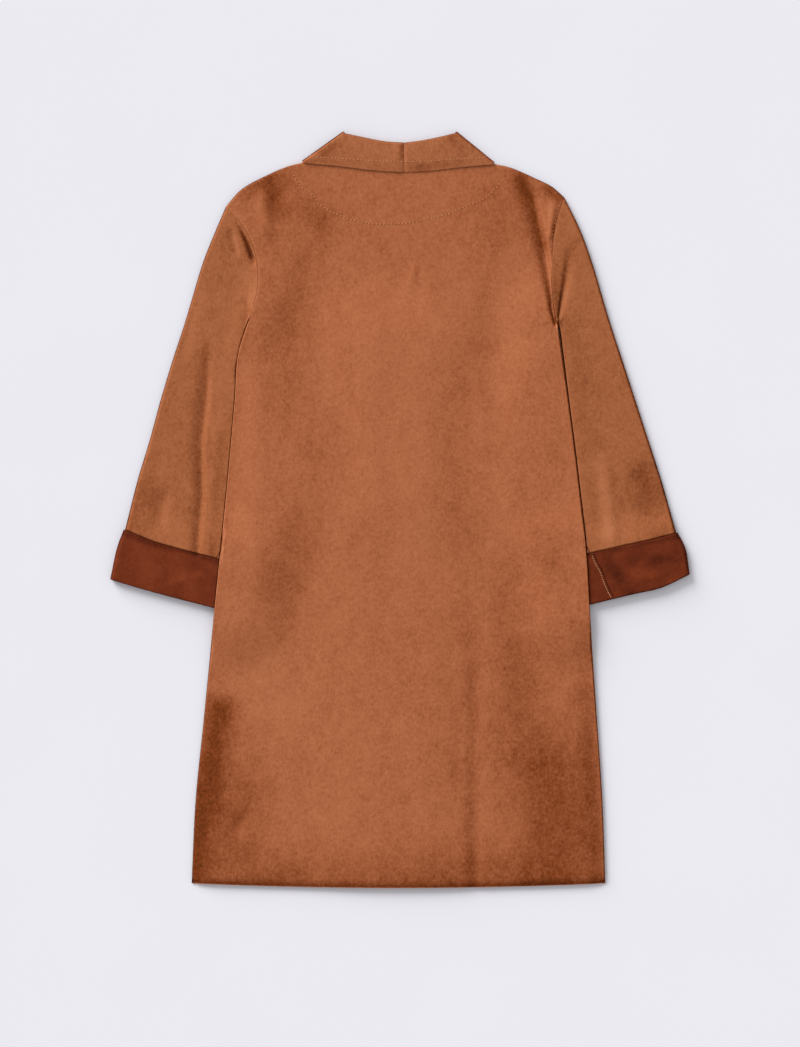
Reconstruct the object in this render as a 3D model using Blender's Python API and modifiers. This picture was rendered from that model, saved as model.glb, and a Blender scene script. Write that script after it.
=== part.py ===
"""A single-breasted coat with a shawl collar, laid flat on its front with its back up.

Lengths are in millimetres until they become vertices, when MM turns them into metres.
+X runs to the wearer's right, +Y to the collar and +Z up from the surface it lies on.
Every piece of cloth is the middle surface of its wall, worked out from the tables and
then given its thickness. Each layer is raised by the layers that lie under it.
"""

import math
from collections import namedtuple

import bmesh
import bpy
import numpy as np

MM = 0.001

# The cloth and how its layers lie
WALL = 1.3                 # bonded suedette
GAP = 0.3                  # between two pieces at a seam
NECK_GAP = 0.6             # where the collar's stand meets the back
ARMHOLE_GAP = 0.75         # of a sleeve from the armhole's line, whose edges lean together
TURN = 1.9                 # from one layer's middle to the next round a turned edge
EDGE_GAP = 0.8             # between the middles of two edges rolled to meet, 0.3 at their nearest
FLOOR = WALL / 2           # middle of a layer that lies on the surface
BODY_LOFT = 3.15           # air between the back and the fronts
BODY_TOP = FLOOR + WALL + BODY_LOFT
FLAT_TUBE = 1.8            # between the middles of a sleeve's two layers, pressed flat
SLEEVE_LIFT = 3.7          # of a front that lies on a sleeve
CUFF_LIFT = 4.2            # more, where it lies on a cuff
BACK_SLEEVE_LIFT = 2.9
BACK_CUFF_LIFT = 2.35
LAP_LIFT = 2.0             # of the left front over the right one
PLACKET_LIFT = 2.3         # of the back, over the lapped fronts
CROSSING_LIFT = 2.0        # more, where the lapels cross
CUFF_PUFF = 0.6            # of the sleeve's upper layer inside its cuff

# The hem and the front closing
HEM_Y = -470.9
HEM_BOW = 5.6              # how much higher the hem is at the side seams
HEM_CORNER_X = 257.0
LAP = 20.0                 # each front's edge past the centre front
BREAK_Y = 60.0             # where the lapels start to turn back

# Buttons
BUTTON_COUNT = 3
BUTTON_RADIUS = 12.5
BUTTON_THICKNESS = 2.4
BUTTON_LIFT = 2.9          # of the fronts over a button
BUTTON_DROP = 22.0         # from the break to the first button's centre
BUTTON_SPACING = 120.0
BUTTON_BEVEL = 0.6
BUTTON_WELL_RADIUS = 8.5
BUTTON_WELL_DEPTH = 0.5
BUTTON_HOLE_RADIUS = 1.1
BUTTON_HOLE_OFFSET = 2.2

# The collar
STAND_BACK = 30.0          # height of the stand at the centre back
STAND_SHOULDER = 28.0      # and where it meets the shoulder
FALL_TOP = BODY_TOP + TURN

# Where the seams meet a panel's edges, as shares of the edge
ROW_STEP = 0.04            # between two rows down a panel
UNDERARM = 5 * ROW_STEP    # down the side, where the armhole ends
NECK_END = 11 * ROW_STEP   # down the front's inner edge, where the collar ends
COLLAR_ENTRY = 0.75        # along the shoulder, where the collar starts to cover it
NECK_LEFT = 0.29           # across the back's top edge, where the neck starts
NECK_RIGHT = 0.74          # and ends

SleeveRow = namedtuple("SleeveRow", "along outer_x outer_y inner_x inner_y")
Point = namedtuple("Point", "x y")
CollarRow = namedtuple("CollarRow", "roll_x roll_y edge_x edge_y")
LapelRow = namedtuple("LapelRow", "share width stand")
Fold = namedtuple("Fold", "piece x0 y0 x1 y1 rise width")

# Shoulder seams, from the tip to where the collar covers them
SHOULDER = {
    "left": [Point(-216.6, 376.9), Point(-199.2, 396.8), Point(-169.3, 414.3), Point(-129.5, 430.0)],
    "right": [Point(204.2, 388.7), Point(189.2, 401.8), Point(169.3, 411.8), Point(125.0, 428.6)],
}

# Armhole seams, from the shoulder tip to the underarm
ARMHOLE = {
    "left": [Point(-216.6, 376.9), Point(-195.5, 353.3), Point(-180.5, 319.7),
             Point(-176.8, 283.6), Point(-186.8, 238.8)],
    "right": [Point(204.2, 388.7), Point(194.2, 354.5), Point(189.5, 308.5),
              Point(189.9, 267.4), Point(195.5, 232.5)],
}

# Side seams, from the underarm to the hem
SIDE = {
    "left": [Point(-186.8, 238.8), Point(-200.4, 196.4), Point(-205.4, 136.6), Point(-216.6, 12.1),
             Point(-230.3, -123.6), Point(-244.0, -261.8), Point(-254.0, -361.4), Point(-259.0, -465.3)],
    "right": [Point(195.5, 232.5), Point(206.7, 152.8), Point(221.6, 37.0), Point(231.6, -56.3),
              Point(235.3, -118.6), Point(244.0, -249.3), Point(251.5, -361.4), Point(255.2, -465.3)],
}

# Sleeves, a row for each section square across them, from the shoulder tip and underarm to the
# wrist: distance down the outer fold, outer fold and underarm fold, which goes under the body
SLEEVE = {
    "left": [SleeveRow(0.0, -216.6, 376.9, -186.8, 238.8), SleeveRow(31.0, -229.1, 348.3, -189.8, 236.6),
             SleeveRow(72.0, -244.0, 310.9, -192.8, 231.0), SleeveRow(125.0, -259.0, 261.1, -195.6, 222.0),
             SleeveRow(150.0, -266.4, 236.2, -195.4, 210.0), SleeveRow(203.0, -282.6, 186.4, -168.0, 160.0),
             SleeveRow(255.0, -297.6, 136.6, -147.0, 110.0), SleeveRow(307.0, -311.2, 86.8, -147.5, 52.0),
             SleeveRow(359.0, -326.2, 37.0, -165.0, -2.0), SleeveRow(422.0, -342.0, -23.0, -195.5, -68.0),
             SleeveRow(488.0, -358.6, -87.0, -210.4, -127.3)],
    "right": [SleeveRow(0.0, 204.2, 388.7, 195.5, 232.5), SleeveRow(45.0, 224.1, 348.3, 198.6, 230.0),
              SleeveRow(85.0, 237.8, 310.9, 201.2, 225.5), SleeveRow(137.0, 252.7, 261.1, 203.8, 216.5),
              SleeveRow(163.0, 260.2, 236.2, 203.6, 204.5), SleeveRow(215.0, 276.4, 186.4, 177.0, 154.0),
              SleeveRow(268.0, 292.6, 136.6, 155.0, 104.0), SleeveRow(320.0, 308.8, 86.8, 154.5, 48.0),
              SleeveRow(372.0, 324.9, 37.0, 170.5, -6.0), SleeveRow(440.0, 343.4, -28.0, 202.9, -64.0),
              SleeveRow(499.0, 358.4, -83.0, 217.9, -122.5)],
}

# The collar's roll line and outer edge on the back, from the centre back to the shoulder
COLLAR = {
    "left": [CollarRow(5.4, 457.1, 5.0, 420.5), CollarRow(-18.7, 458.8, -31.1, 422.4),
             CollarRow(-44.8, 463.7, -77.2, 428.0), CollarRow(-70.3, 471.6, -122.0, 434.8)],
    "right": [CollarRow(5.4, 457.1, 5.0, 420.5), CollarRow(24.9, 459.6, 39.8, 422.4),
              CollarRow(47.3, 463.8, 77.2, 426.7), CollarRow(70.3, 471.6, 117.7, 433.0)],
}

# The lapel along its roll line, from the shoulder (0) to the break (1)
LAPEL = [
    LapelRow(0.00, 63.0, STAND_SHOULDER),
    LapelRow(0.15, 72.0, 22.0),
    LapelRow(0.35, 82.0, 16.0),
    LapelRow(0.60, 72.0, 11.0),
    LapelRow(0.80, 46.0, 8.0),
    LapelRow(0.93, 20.0, 5.0),
    LapelRow(1.00, 6.0, 4.0),
]

# The largest folds: a soft ridge (rise over 0) or trough along each line
FOLDS = [
    Fold("back", 150.6, 414.0, 194.2, 236.0, -1.3, 14.0),
    Fold("back", -96.0, 366.0, -172.0, 160.0, -0.7, 26.0),
    Fold("back", 93.4, -60.0, 93.4, -471.0, -1.1, 15.0),
    Fold("back", 74.0, -230.0, 72.0, -370.0, -0.7, 12.0),
    Fold("back", -196.0, -382.0, -206.0, -408.0, -1.2, 14.0),
    Fold("back", -150.0, -250.0, -172.0, -340.0, -0.7, 20.0),
    Fold("sleeve_left", -241.0, 210.0, -249.0, -55.0, -1.6, 15.0),
    Fold("sleeve_left", -230.0, 120.0, -238.0, -50.0, 1.0, 13.0),
    Fold("sleeve_left", -205.0, 330.0, -196.0, 250.0, -1.1, 12.0),
    Fold("sleeve_right", 222.9, 330.0, 196.0, 236.0, -1.5, 12.0),
    Fold("sleeve_right", 318.0, 30.0, 326.0, -14.0, -0.9, 16.0),
]

# How finely each piece is divided
SHOULDER_COLUMNS = 8
SLEEVE_ROWS = 13
CURVE_SAMPLES = 40
EDGE_INSETS = (0.0, 0.28, 1.04, 2.1)   # rows and columns that carry a panel round its folded edge
TURN_ANGLES = (45.0, 0.0, -45.0)       # points round a tube's folded edge, between its layers


def ease(share):
    """Run smoothly from 0 to 1."""
    share = np.clip(share, 0.0, 1.0)
    return share * share * (3.0 - 2.0 * share)


def blend(low, high, share):
    return low + (high - low) * share


class Curve:
    """A smooth plan curve through a few points, run from 0 to 1 by length or by given distances."""

    def __init__(self, points, along=None):
        self.points = np.array([tuple(point) for point in points], float)
        steps = np.linalg.norm(np.diff(self.points, axis=0), axis=1) if along is None else np.diff(along)
        self.knots = np.concatenate(([0.0], np.cumsum(steps))) / np.sum(steps)
        slopes = np.diff(self.points, axis=0) / np.diff(self.knots)[:, None]
        before, after = np.diff(self.knots)[:-1, None], np.diff(self.knots)[1:, None]
        middle = (slopes[1:] * before + slopes[:-1] * after) / (before + after)
        self.slopes = np.concatenate((slopes[:1], middle, slopes[-1:]))

    def __call__(self, share):
        share = np.clip(np.asarray(share, float), 0.0, 1.0)
        index = np.clip(np.searchsorted(self.knots, share, "right") - 1, 0, len(self.knots) - 2)
        span = (self.knots[index + 1] - self.knots[index])
        t = ((share - self.knots[index]) / span)[..., None]
        span = span[..., None]
        return ((1 + 2 * t) * (1 - t) ** 2 * self.points[index]
                + t * (1 - t) ** 2 * span * self.slopes[index]
                + t * t * (3 - 2 * t) * self.points[index + 1]
                + t * t * (t - 1) * span * self.slopes[index + 1])


class Line:
    """Straight steps that a seam's two sides share, run from 0 to 1 by number or by given shares."""

    def __init__(self, points, shares=None):
        self.points = np.array(points, float)
        self.shares = np.linspace(0.0, 1.0, len(self.points)) if shares is None else shares

    def __call__(self, share):
        return np.stack([np.interp(share, self.shares, self.points[:, axis]) for axis in (0, 1)], axis=-1)

    def shifted(self, offset):
        """The line moved sideways, to the left of its direction where offset is over 0."""
        steps = np.diff(self.points, axis=0)
        steps /= np.linalg.norm(steps, axis=1)[:, None]
        normals = np.stack((-steps[:, 1], steps[:, 0]), axis=1)
        before, after = np.vstack((normals[:1], normals)), np.vstack((normals, normals[-1:]))
        reach = (before + after) / (1.0 + (before * after).sum(1))[:, None]
        return Line(self.points + offset * reach)


def joined(*parts):
    """An edge made of curves that follow each other, each given with the share where it ends."""
    def edge(share):
        share = np.asarray(share, float)
        points = np.zeros(share.shape + (2,))
        start = 0.0
        for end, curve in parts:
            here = (share >= start) & (share <= end)
            points[here] = curve((share[here] - start) / (end - start))
            start = end
        return points
    return edge


def patch(top, bottom, left, right):
    """Spread a plan grid over four edges that meet at their ends."""
    def place(u, v):
        u, v = np.broadcast_arrays(np.asarray(u, float), np.asarray(v, float))
        a, b = u[..., None], v[..., None]
        zero, one = np.zeros(1), np.ones(1)
        corners = ((1 - a) * (1 - b) * top(zero)[0] + a * (1 - b) * top(one)[0]
                   + (1 - a) * b * bottom(zero)[0] + a * b * bottom(one)[0])
        return (1 - b) * top(u) + b * bottom(u) + (1 - a) * left(v) + a * right(v) - corners
    return place


def distance(points, line):
    """Distance in plan from each point to a line of straight steps."""
    start, step = line[:-1], np.diff(line, axis=0)
    apart = points[..., None, :] - start
    share = np.clip((apart * step).sum(-1) / (step * step).sum(-1), 0.0, 1.0)
    return np.sqrt(((apart - share[..., None] * step) ** 2).sum(-1).min(-1))


def inside(points, outline):
    """Whether each point lies inside a closed outline."""
    x, y = points[..., 0, None], points[..., 1, None]
    start, end = outline, np.roll(outline, -1, axis=0)
    crosses = (start[:, 1] > y) != (end[:, 1] > y)
    rise = np.where(end[:, 1] == start[:, 1], 1.0, end[:, 1] - start[:, 1])
    at_x = start[:, 0] + (y - start[:, 1]) * (end[:, 0] - start[:, 0]) / rise
    return (crosses & (x < at_x)).sum(-1) % 2 == 1


class Cover:
    """What lies under the cloth: 1 over it, easing to 0 past its edge."""

    def __init__(self, outline, margin, ramp):
        self.outline = np.array(outline, float)
        self.margin = margin
        self.ramp = ramp

    def __call__(self, points):
        closed = np.concatenate((self.outline, self.outline[:1]))
        apart = np.where(inside(points, self.outline), 0.0, distance(points, closed))
        return ease(1.0 - (apart - self.margin) / self.ramp)

    def wider(self, ramp):
        return Cover(self.outline, self.margin, ramp)


def fold_relief(piece, points):
    """Rise or fall of the cloth at its largest folds."""
    height = np.zeros(points.shape[:-1])
    for fold in FOLDS:
        if fold.piece == piece:
            line = np.array([(fold.x0, fold.y0), (fold.x1, fold.y1)])
            run = line[1] - line[0]
            length = np.linalg.norm(run)
            along = ((points - line[0]) @ run) / length
            across = distance(points, line)
            ends = ease(along / (0.3 * length)) * ease((length - along) / (0.3 * length))
            height += fold.rise * ends * np.exp(-(across / fold.width) ** 2)
    return height


def rolled_drop(inset, radius, amount=1.0):
    """How far a folded edge has turned down, at an inset from its outermost line."""
    short = np.clip(radius - inset, 0.0, radius)
    return amount * (radius - np.sqrt(radius * radius - short * short))


def panel_rows(length):
    """Shares down a panel: close together round its folded shoulder, then even."""
    steps = np.arange(1, round(1.0 / ROW_STEP) + 1) * ROW_STEP
    return np.concatenate((np.array(EDGE_INSETS) / length, steps))


def side_columns(width, reach):
    """Shares across a panel from its side seam: close together round the fold, then even."""
    steps = np.arange(1, SHOULDER_COLUMNS + 1) * reach / SHOULDER_COLUMNS
    return np.concatenate((np.array(EDGE_INSETS) / width, steps))


class Collar:
    """Half of the shawl collar: fall, roll and stand in one strip, from the back to the break."""

    BACK_SHARES = (0.0, 0.18, 0.38, 0.6, 0.82, 1.0)
    WRAP_ANGLES = (36.0, 72.0, 108.0, 144.0)
    FRONT_STATIONS = 12
    FALL_POINTS = 5
    STAND_POINTS = 3
    ROLL_ANGLES = (90.0, 45.0, 0.0, -45.0, -90.0)

    def __init__(self, side):
        self.side = side
        self.sign = -1.0 if side == "left" else 1.0
        rows = COLLAR[side]
        last = rows[-1]
        self.peak = np.array((last.roll_x, last.roll_y))
        corner = np.array((last.edge_x, last.edge_y))
        self.wrap_width = np.linalg.norm(corner - self.peak)
        self.wrap_run = (corner - self.peak) / self.wrap_width
        self.outward = np.array((-self.wrap_run[1], self.wrap_run[0]))
        if self.outward[1] < 0.0:
            self.outward = -self.outward
        lap_sign = 1.0 if side == "left" else -1.0
        self.break_point = np.array((lap_sign * LAP, BREAK_Y))
        lowest, highest = FLOOR + TURN / 2, FALL_TOP - TURN / 2
        self.wrap_radius = (highest - lowest) / 2
        self.wrap_middle = (highest + lowest) / 2
        inset = self.wrap_radius + TURN / 2 + WALL / 2
        self.axis = self.peak - inset * self.outward + (TURN / 2 + WALL / 2) * self.wrap_run
        self.roll_curve = Curve([(row.roll_x, row.roll_y) for row in rows[:-1]] + [tuple(self.axis)])
        edge_end = self.axis + self.wrap_run * (self.wrap_width - TURN / 2 - WALL / 2)
        self.edge_curve = Curve([(row.edge_x, row.edge_y) for row in rows[:-1]] + [tuple(edge_end)])

    def stations(self):
        """Roll point, direction to the edge, upward direction, widths and share of each section."""
        found = []
        for share in self.BACK_SHARES:
            roll = self.roll_curve(share)
            edge = self.edge_curve(share)
            width = np.linalg.norm(edge - roll)
            run = (edge - roll) / width
            if share == 0.0:
                roll = roll + np.array((self.sign * GAP / 2, 0.0))
            if share < 1.0:
                roll = roll + run * (TURN / 2 + WALL / 2)
                width -= TURN / 2 + WALL / 2
            stand = blend(STAND_BACK, STAND_SHOULDER, share) - TURN / 2
            place = np.array((roll[0], roll[1], self.wrap_middle + self.wrap_radius))
            found.append((place, run, np.array((0.0, 0.0, 1.0)), width, stand))
        for angle in self.WRAP_ANGLES:
            turn = math.radians(angle)
            normal = np.array((*(math.sin(turn) * self.outward), math.cos(turn)))
            place = np.array((*self.axis, self.wrap_middle)) + self.wrap_radius * normal
            width, stand = found[len(self.BACK_SHARES) - 1][3:5]
            found.append((place, self.wrap_run, normal, width, stand))
        roll_run = self.break_point - self.axis
        roll_run /= np.linalg.norm(roll_run)
        across = self.sign * np.array((-roll_run[1], roll_run[0]))
        across *= -1.0 if across[0] * self.sign < 0.0 else 1.0
        shares = np.array([row.share for row in LAPEL])
        width_of = Curve([(row.share * 100.0, row.width) for row in LAPEL])
        widths = width_of(np.linspace(0.0, 1.0, 4 * CURVE_SAMPLES))
        for share in np.linspace(0.0, 1.0, self.FRONT_STATIONS):
            run = blend(self.wrap_run, across, ease(share / 0.35))
            run = run / np.linalg.norm(run)
            width = np.interp(share * 100.0, widths[:, 0], widths[:, 1])
            stand = np.interp(share, shares, [row.stand for row in LAPEL])
            roll = blend(self.axis, self.break_point, share)
            place = np.array((roll[0], roll[1], self.wrap_middle - self.wrap_radius))
            found.append((place, run, np.array((0.0, 0.0, -1.0)), width, stand))
        return found

    def section(self, station):
        """Points across the strip: the fall's edge, the roll and the stand's edge."""
        place, run, normal, width, stand = station
        run = np.array((run[0], run[1], 0.0))
        half = TURN / 2
        points = [place + run * reach + normal * half
                  for reach in np.linspace(width, 0.0, self.FALL_POINTS)[:-1]]
        for angle in self.ROLL_ANGLES:
            turn = math.radians(angle)
            points.append(place - run * half * math.cos(turn) + normal * half * math.sin(turn))
        points += [place + run * reach - normal * half
                   for reach in np.linspace(0.0, stand, self.STAND_POINTS + 1)[1:]]
        return points

    def surface(self):
        return np.array([self.section(station) for station in self.stations()])

    def back_seam(self):
        """Plan line of the stand's edge from the shoulder to the centre back."""
        count = len(self.BACK_SHARES)
        return self.surface()[:count, -1, :2][::-1]

    def front_seam(self):
        """Plan line of the stand's edge from the shoulder to the break."""
        return self.surface()[-self.FRONT_STATIONS:, -1, :2]

    def shoulder_end(self):
        """The shoulder seam under the collar: where it goes in, and where it meets the stand."""
        inset = self.wrap_radius - TURN / 2
        line = self.axis + self.outward * inset
        return [line + self.wrap_run * (self.wrap_width + 1.0),
                line + self.wrap_run * (STAND_SHOULDER - TURN / 2 + 3.0 * GAP)]

    def lapel_outline(self):
        front = self.surface()[-self.FRONT_STATIONS:]
        roll = front[:, self.FALL_POINTS + 1, :2]
        return np.concatenate((front[:, 0, :2], roll[::-1]))


def shoulder_curve(side, collar):
    """The shoulder's outermost line, from the tip to the collar's stand."""
    entry, end = collar.shoulder_end()
    shown = Curve([tuple(point) for point in SHOULDER[side]] + [tuple(entry)])
    return joined((COLLAR_ENTRY, shown), (1.0, Line([entry, end])))


def armhole_line(side):
    """The armhole seam in the steps that the body's rows take."""
    steps = round(UNDERARM / ROW_STEP)
    return Line(Curve(ARMHOLE[side])(np.linspace(0.0, 1.0, steps + 1)))


def side_edge(side, gap):
    """Armhole and side seam as one edge, with the underarm at a share of UNDERARM."""
    armhole = armhole_line(side).shifted(-gap if side == "right" else gap)
    below = [tuple(armhole(1.0))] + [tuple(point) for point in SIDE[side][1:]]
    return joined((UNDERARM, armhole), (1.0, Curve(below)))


def hem_height(x):
    return HEM_Y + HEM_BOW * (x / HEM_CORNER_X) ** 2


class Sleeve:
    """A sleeve as a flattened tube, from the armhole to its end inside the cuff."""

    SHOWN_POINTS = 6           # across the upper layer that shows
    HIDDEN_POINTS = 3          # across the part under the body
    LOWER_POINTS = 6
    ARMHOLE_REACH = (60.0, 125.0)  # how far the armhole's height and bend reach, at each fold
    BODY_CLEAR = 3.0           # past the body's edge, where it starts to rise
    BODY_RAMP = 10.0           # and how far it takes
    CUFF_RAMP = 25.0
    SEAM_ROWS = (0.0, 20.0, 45.0, 72.0, 100.0, 125.0, 150.0)

    def __init__(self, side, coat):
        self.side = side
        self.name = "sleeve_" + side
        self.coat = coat
        away = 1.0 if side == "right" else -1.0
        self.armhole = armhole_line(side).shifted(away * ARMHOLE_GAP)
        rows = SLEEVE[side]
        start, underarm = self.armhole(0.0), self.armhole(1.0)
        along = [row.along for row in rows]
        self.outer = Curve([tuple(start)] + [(row.outer_x, row.outer_y) for row in rows[1:]], along)
        self.inner = Curve([tuple(underarm)] + [(row.inner_x, row.inner_y) for row in rows[1:]], along)
        self.length = along[-1]
        self.cuff_start = along[-2]

    def plan(self, q, along):
        """Plan place at a share across and a distance down the outer fold."""
        q, along = np.broadcast_arrays(np.asarray(q, float), np.asarray(along, float))
        share = along / self.length
        straight = blend(self.outer(share), self.inner(share), q[..., None])
        bend = self.armhole(q) - blend(self.armhole(0.0), self.armhole(1.0), q[..., None])
        return straight + bend * ease(1.0 - along / self.ARMHOLE_REACH[1])[..., None]

    def outline(self):
        """Closed plan outline of the part that can lie under the body."""
        share = np.linspace(0.0, 1.0, CURVE_SAMPLES)
        return np.concatenate((self.inner(share), self.outer(share[::-1][:CURVE_SAMPLES - 12])))

    def cuff_outline(self):
        share = np.array((self.cuff_start / self.length, 1.0))
        return np.concatenate((self.inner(share), self.outer(share[::-1])))

    def clearance(self, points):
        """Distance from the body's side edge, under 0 beneath the body."""
        clear = distance(points, self.coat.side_lines[self.side])
        return np.where(inside(points, self.coat.outline), -clear, clear)

    def heights(self, q, along):
        """Middle heights of the upper and the lower layer."""
        q, along = np.broadcast_arrays(np.asarray(q, float), np.asarray(along, float))
        points = self.plan(q, along)
        seam = self.armhole(q)
        reach = blend(self.ARMHOLE_REACH[0], self.ARMHOLE_REACH[1], q * q)
        near = ease(1.0 - along / reach)
        in_cuff = ease(1.0 + (along - self.cuff_start) / self.CUFF_RAMP)
        shows = ease((self.clearance(points) - self.BODY_CLEAR) / self.BODY_RAMP)
        lower = FLOOR + TURN * in_cuff
        flat = lower + FLAT_TUBE
        full = BODY_TOP + CUFF_PUFF * in_cuff + fold_relief(self.name, points) * (1.0 - in_cuff)
        upper = blend(flat, full, shows)
        return (blend(upper, self.coat.back_height(seam, folds=False), near),
                blend(lower, self.coat.front_height(seam, self.side), near))

    def upper_shares(self, along, flats):
        """Shares across the upper layer, with points at the body's edge and where it has risen."""
        q = np.linspace(flats[0], flats[1], 6 * CURVE_SAMPLES)
        clear = self.clearance(self.plan(q, along))
        edge = min(q[clear > self.BODY_CLEAR][-1], flats[1] - 0.06)
        risen = min(q[clear > self.BODY_CLEAR + self.BODY_RAMP][-1], edge - 0.03)
        return np.concatenate((np.linspace(flats[0], risen, self.SHOWN_POINTS),
                               np.linspace(edge, flats[1], self.HIDDEN_POINTS)))

    def ring(self, along, grown=0.0):
        """One closed section, or one that lies a little outside it."""
        ends = np.array((0.0, 1.0))
        upper, lower = self.heights(ends, along)
        radius = (upper - lower) / 2
        middle = (upper + lower) / 2
        corners = self.plan(ends, along)
        width = np.linalg.norm(corners[1] - corners[0])
        flats = (radius[0] / width, 1.0 - radius[1] / width)
        q = self.upper_shares(along, flats)
        top = np.column_stack((self.plan(q, along), self.heights(q, along)[0] + grown))
        inner = self.turn(top[-1, :2], self.underarm_run(along), middle[1], radius[1] + grown,
                          TURN_ANGLES)
        q = np.linspace(flats[1], flats[0], self.LOWER_POINTS)
        bottom = np.column_stack((self.plan(q, along), self.heights(q, along)[1] - grown))
        outer = self.turn(bottom[-1, :2], corners[0] - self.plan(0.2, along), middle[0],
                          radius[0] + grown, TURN_ANGLES[::-1])
        return np.concatenate((top, inner, bottom, outer))

    def underarm_run(self, along):
        """Direction out past the underarm fold: along the armhole, then square to the fold."""
        section = self.plan(1.0, along) - self.plan(0.8, along)
        section /= np.linalg.norm(section)
        step = self.inner(along / self.length + 0.002) - self.inner(along / self.length - 0.002)
        square = np.array((-step[1], step[0])) / np.linalg.norm(step)
        square = square if square @ section > 0.0 else -square
        return blend(section, square, ease(along / 60.0))

    @staticmethod
    def turn(centre, run, height, radius, angles):
        """Points round a folded edge."""
        run = run / np.linalg.norm(run)
        turned = np.radians(angles)
        plan = centre + run * (radius * np.cos(turned))[:, None]
        return np.column_stack((plan, height + radius * np.sin(turned)))

    def surface(self):
        middle = np.linspace(self.SEAM_ROWS[-1], self.cuff_start, SLEEVE_ROWS)[1:-1]
        in_cuff = Cuff.rows(self)[:-1]
        end = self.length - Cuff.TURN_IN - GAP
        return np.array([self.ring(along) for along in (*self.SEAM_ROWS, *middle, *in_cuff, end)])


class Cuff:
    """A turned-back cuff round the sleeve's end, turned in at the wrist to meet the sleeve."""

    TURN_IN = 9.0
    TOP_ROWS = 5
    TURN_STEPS = (90.0, 45.0, 0.0, -45.0, -90.0)

    def __init__(self, sleeve):
        self.sleeve = sleeve

    @classmethod
    def rows(cls, sleeve):
        """Distances along the sleeve of the sections that the two share."""
        return np.linspace(sleeve.cuff_start, sleeve.length - cls.TURN_IN, cls.TOP_ROWS)

    def surface(self):
        half = TURN / 2
        fold = self.sleeve.length - half
        path = [(along, TURN) for along in self.rows(self.sleeve)]
        for angle in self.TURN_STEPS:
            turned = math.radians(angle)
            path.append((fold + half * math.cos(turned), half + half * math.sin(turned)))
        path.append((self.sleeve.length - self.TURN_IN, 0.0))
        return np.array([self.sleeve.ring(along, grown) for along, grown in path])


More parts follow.
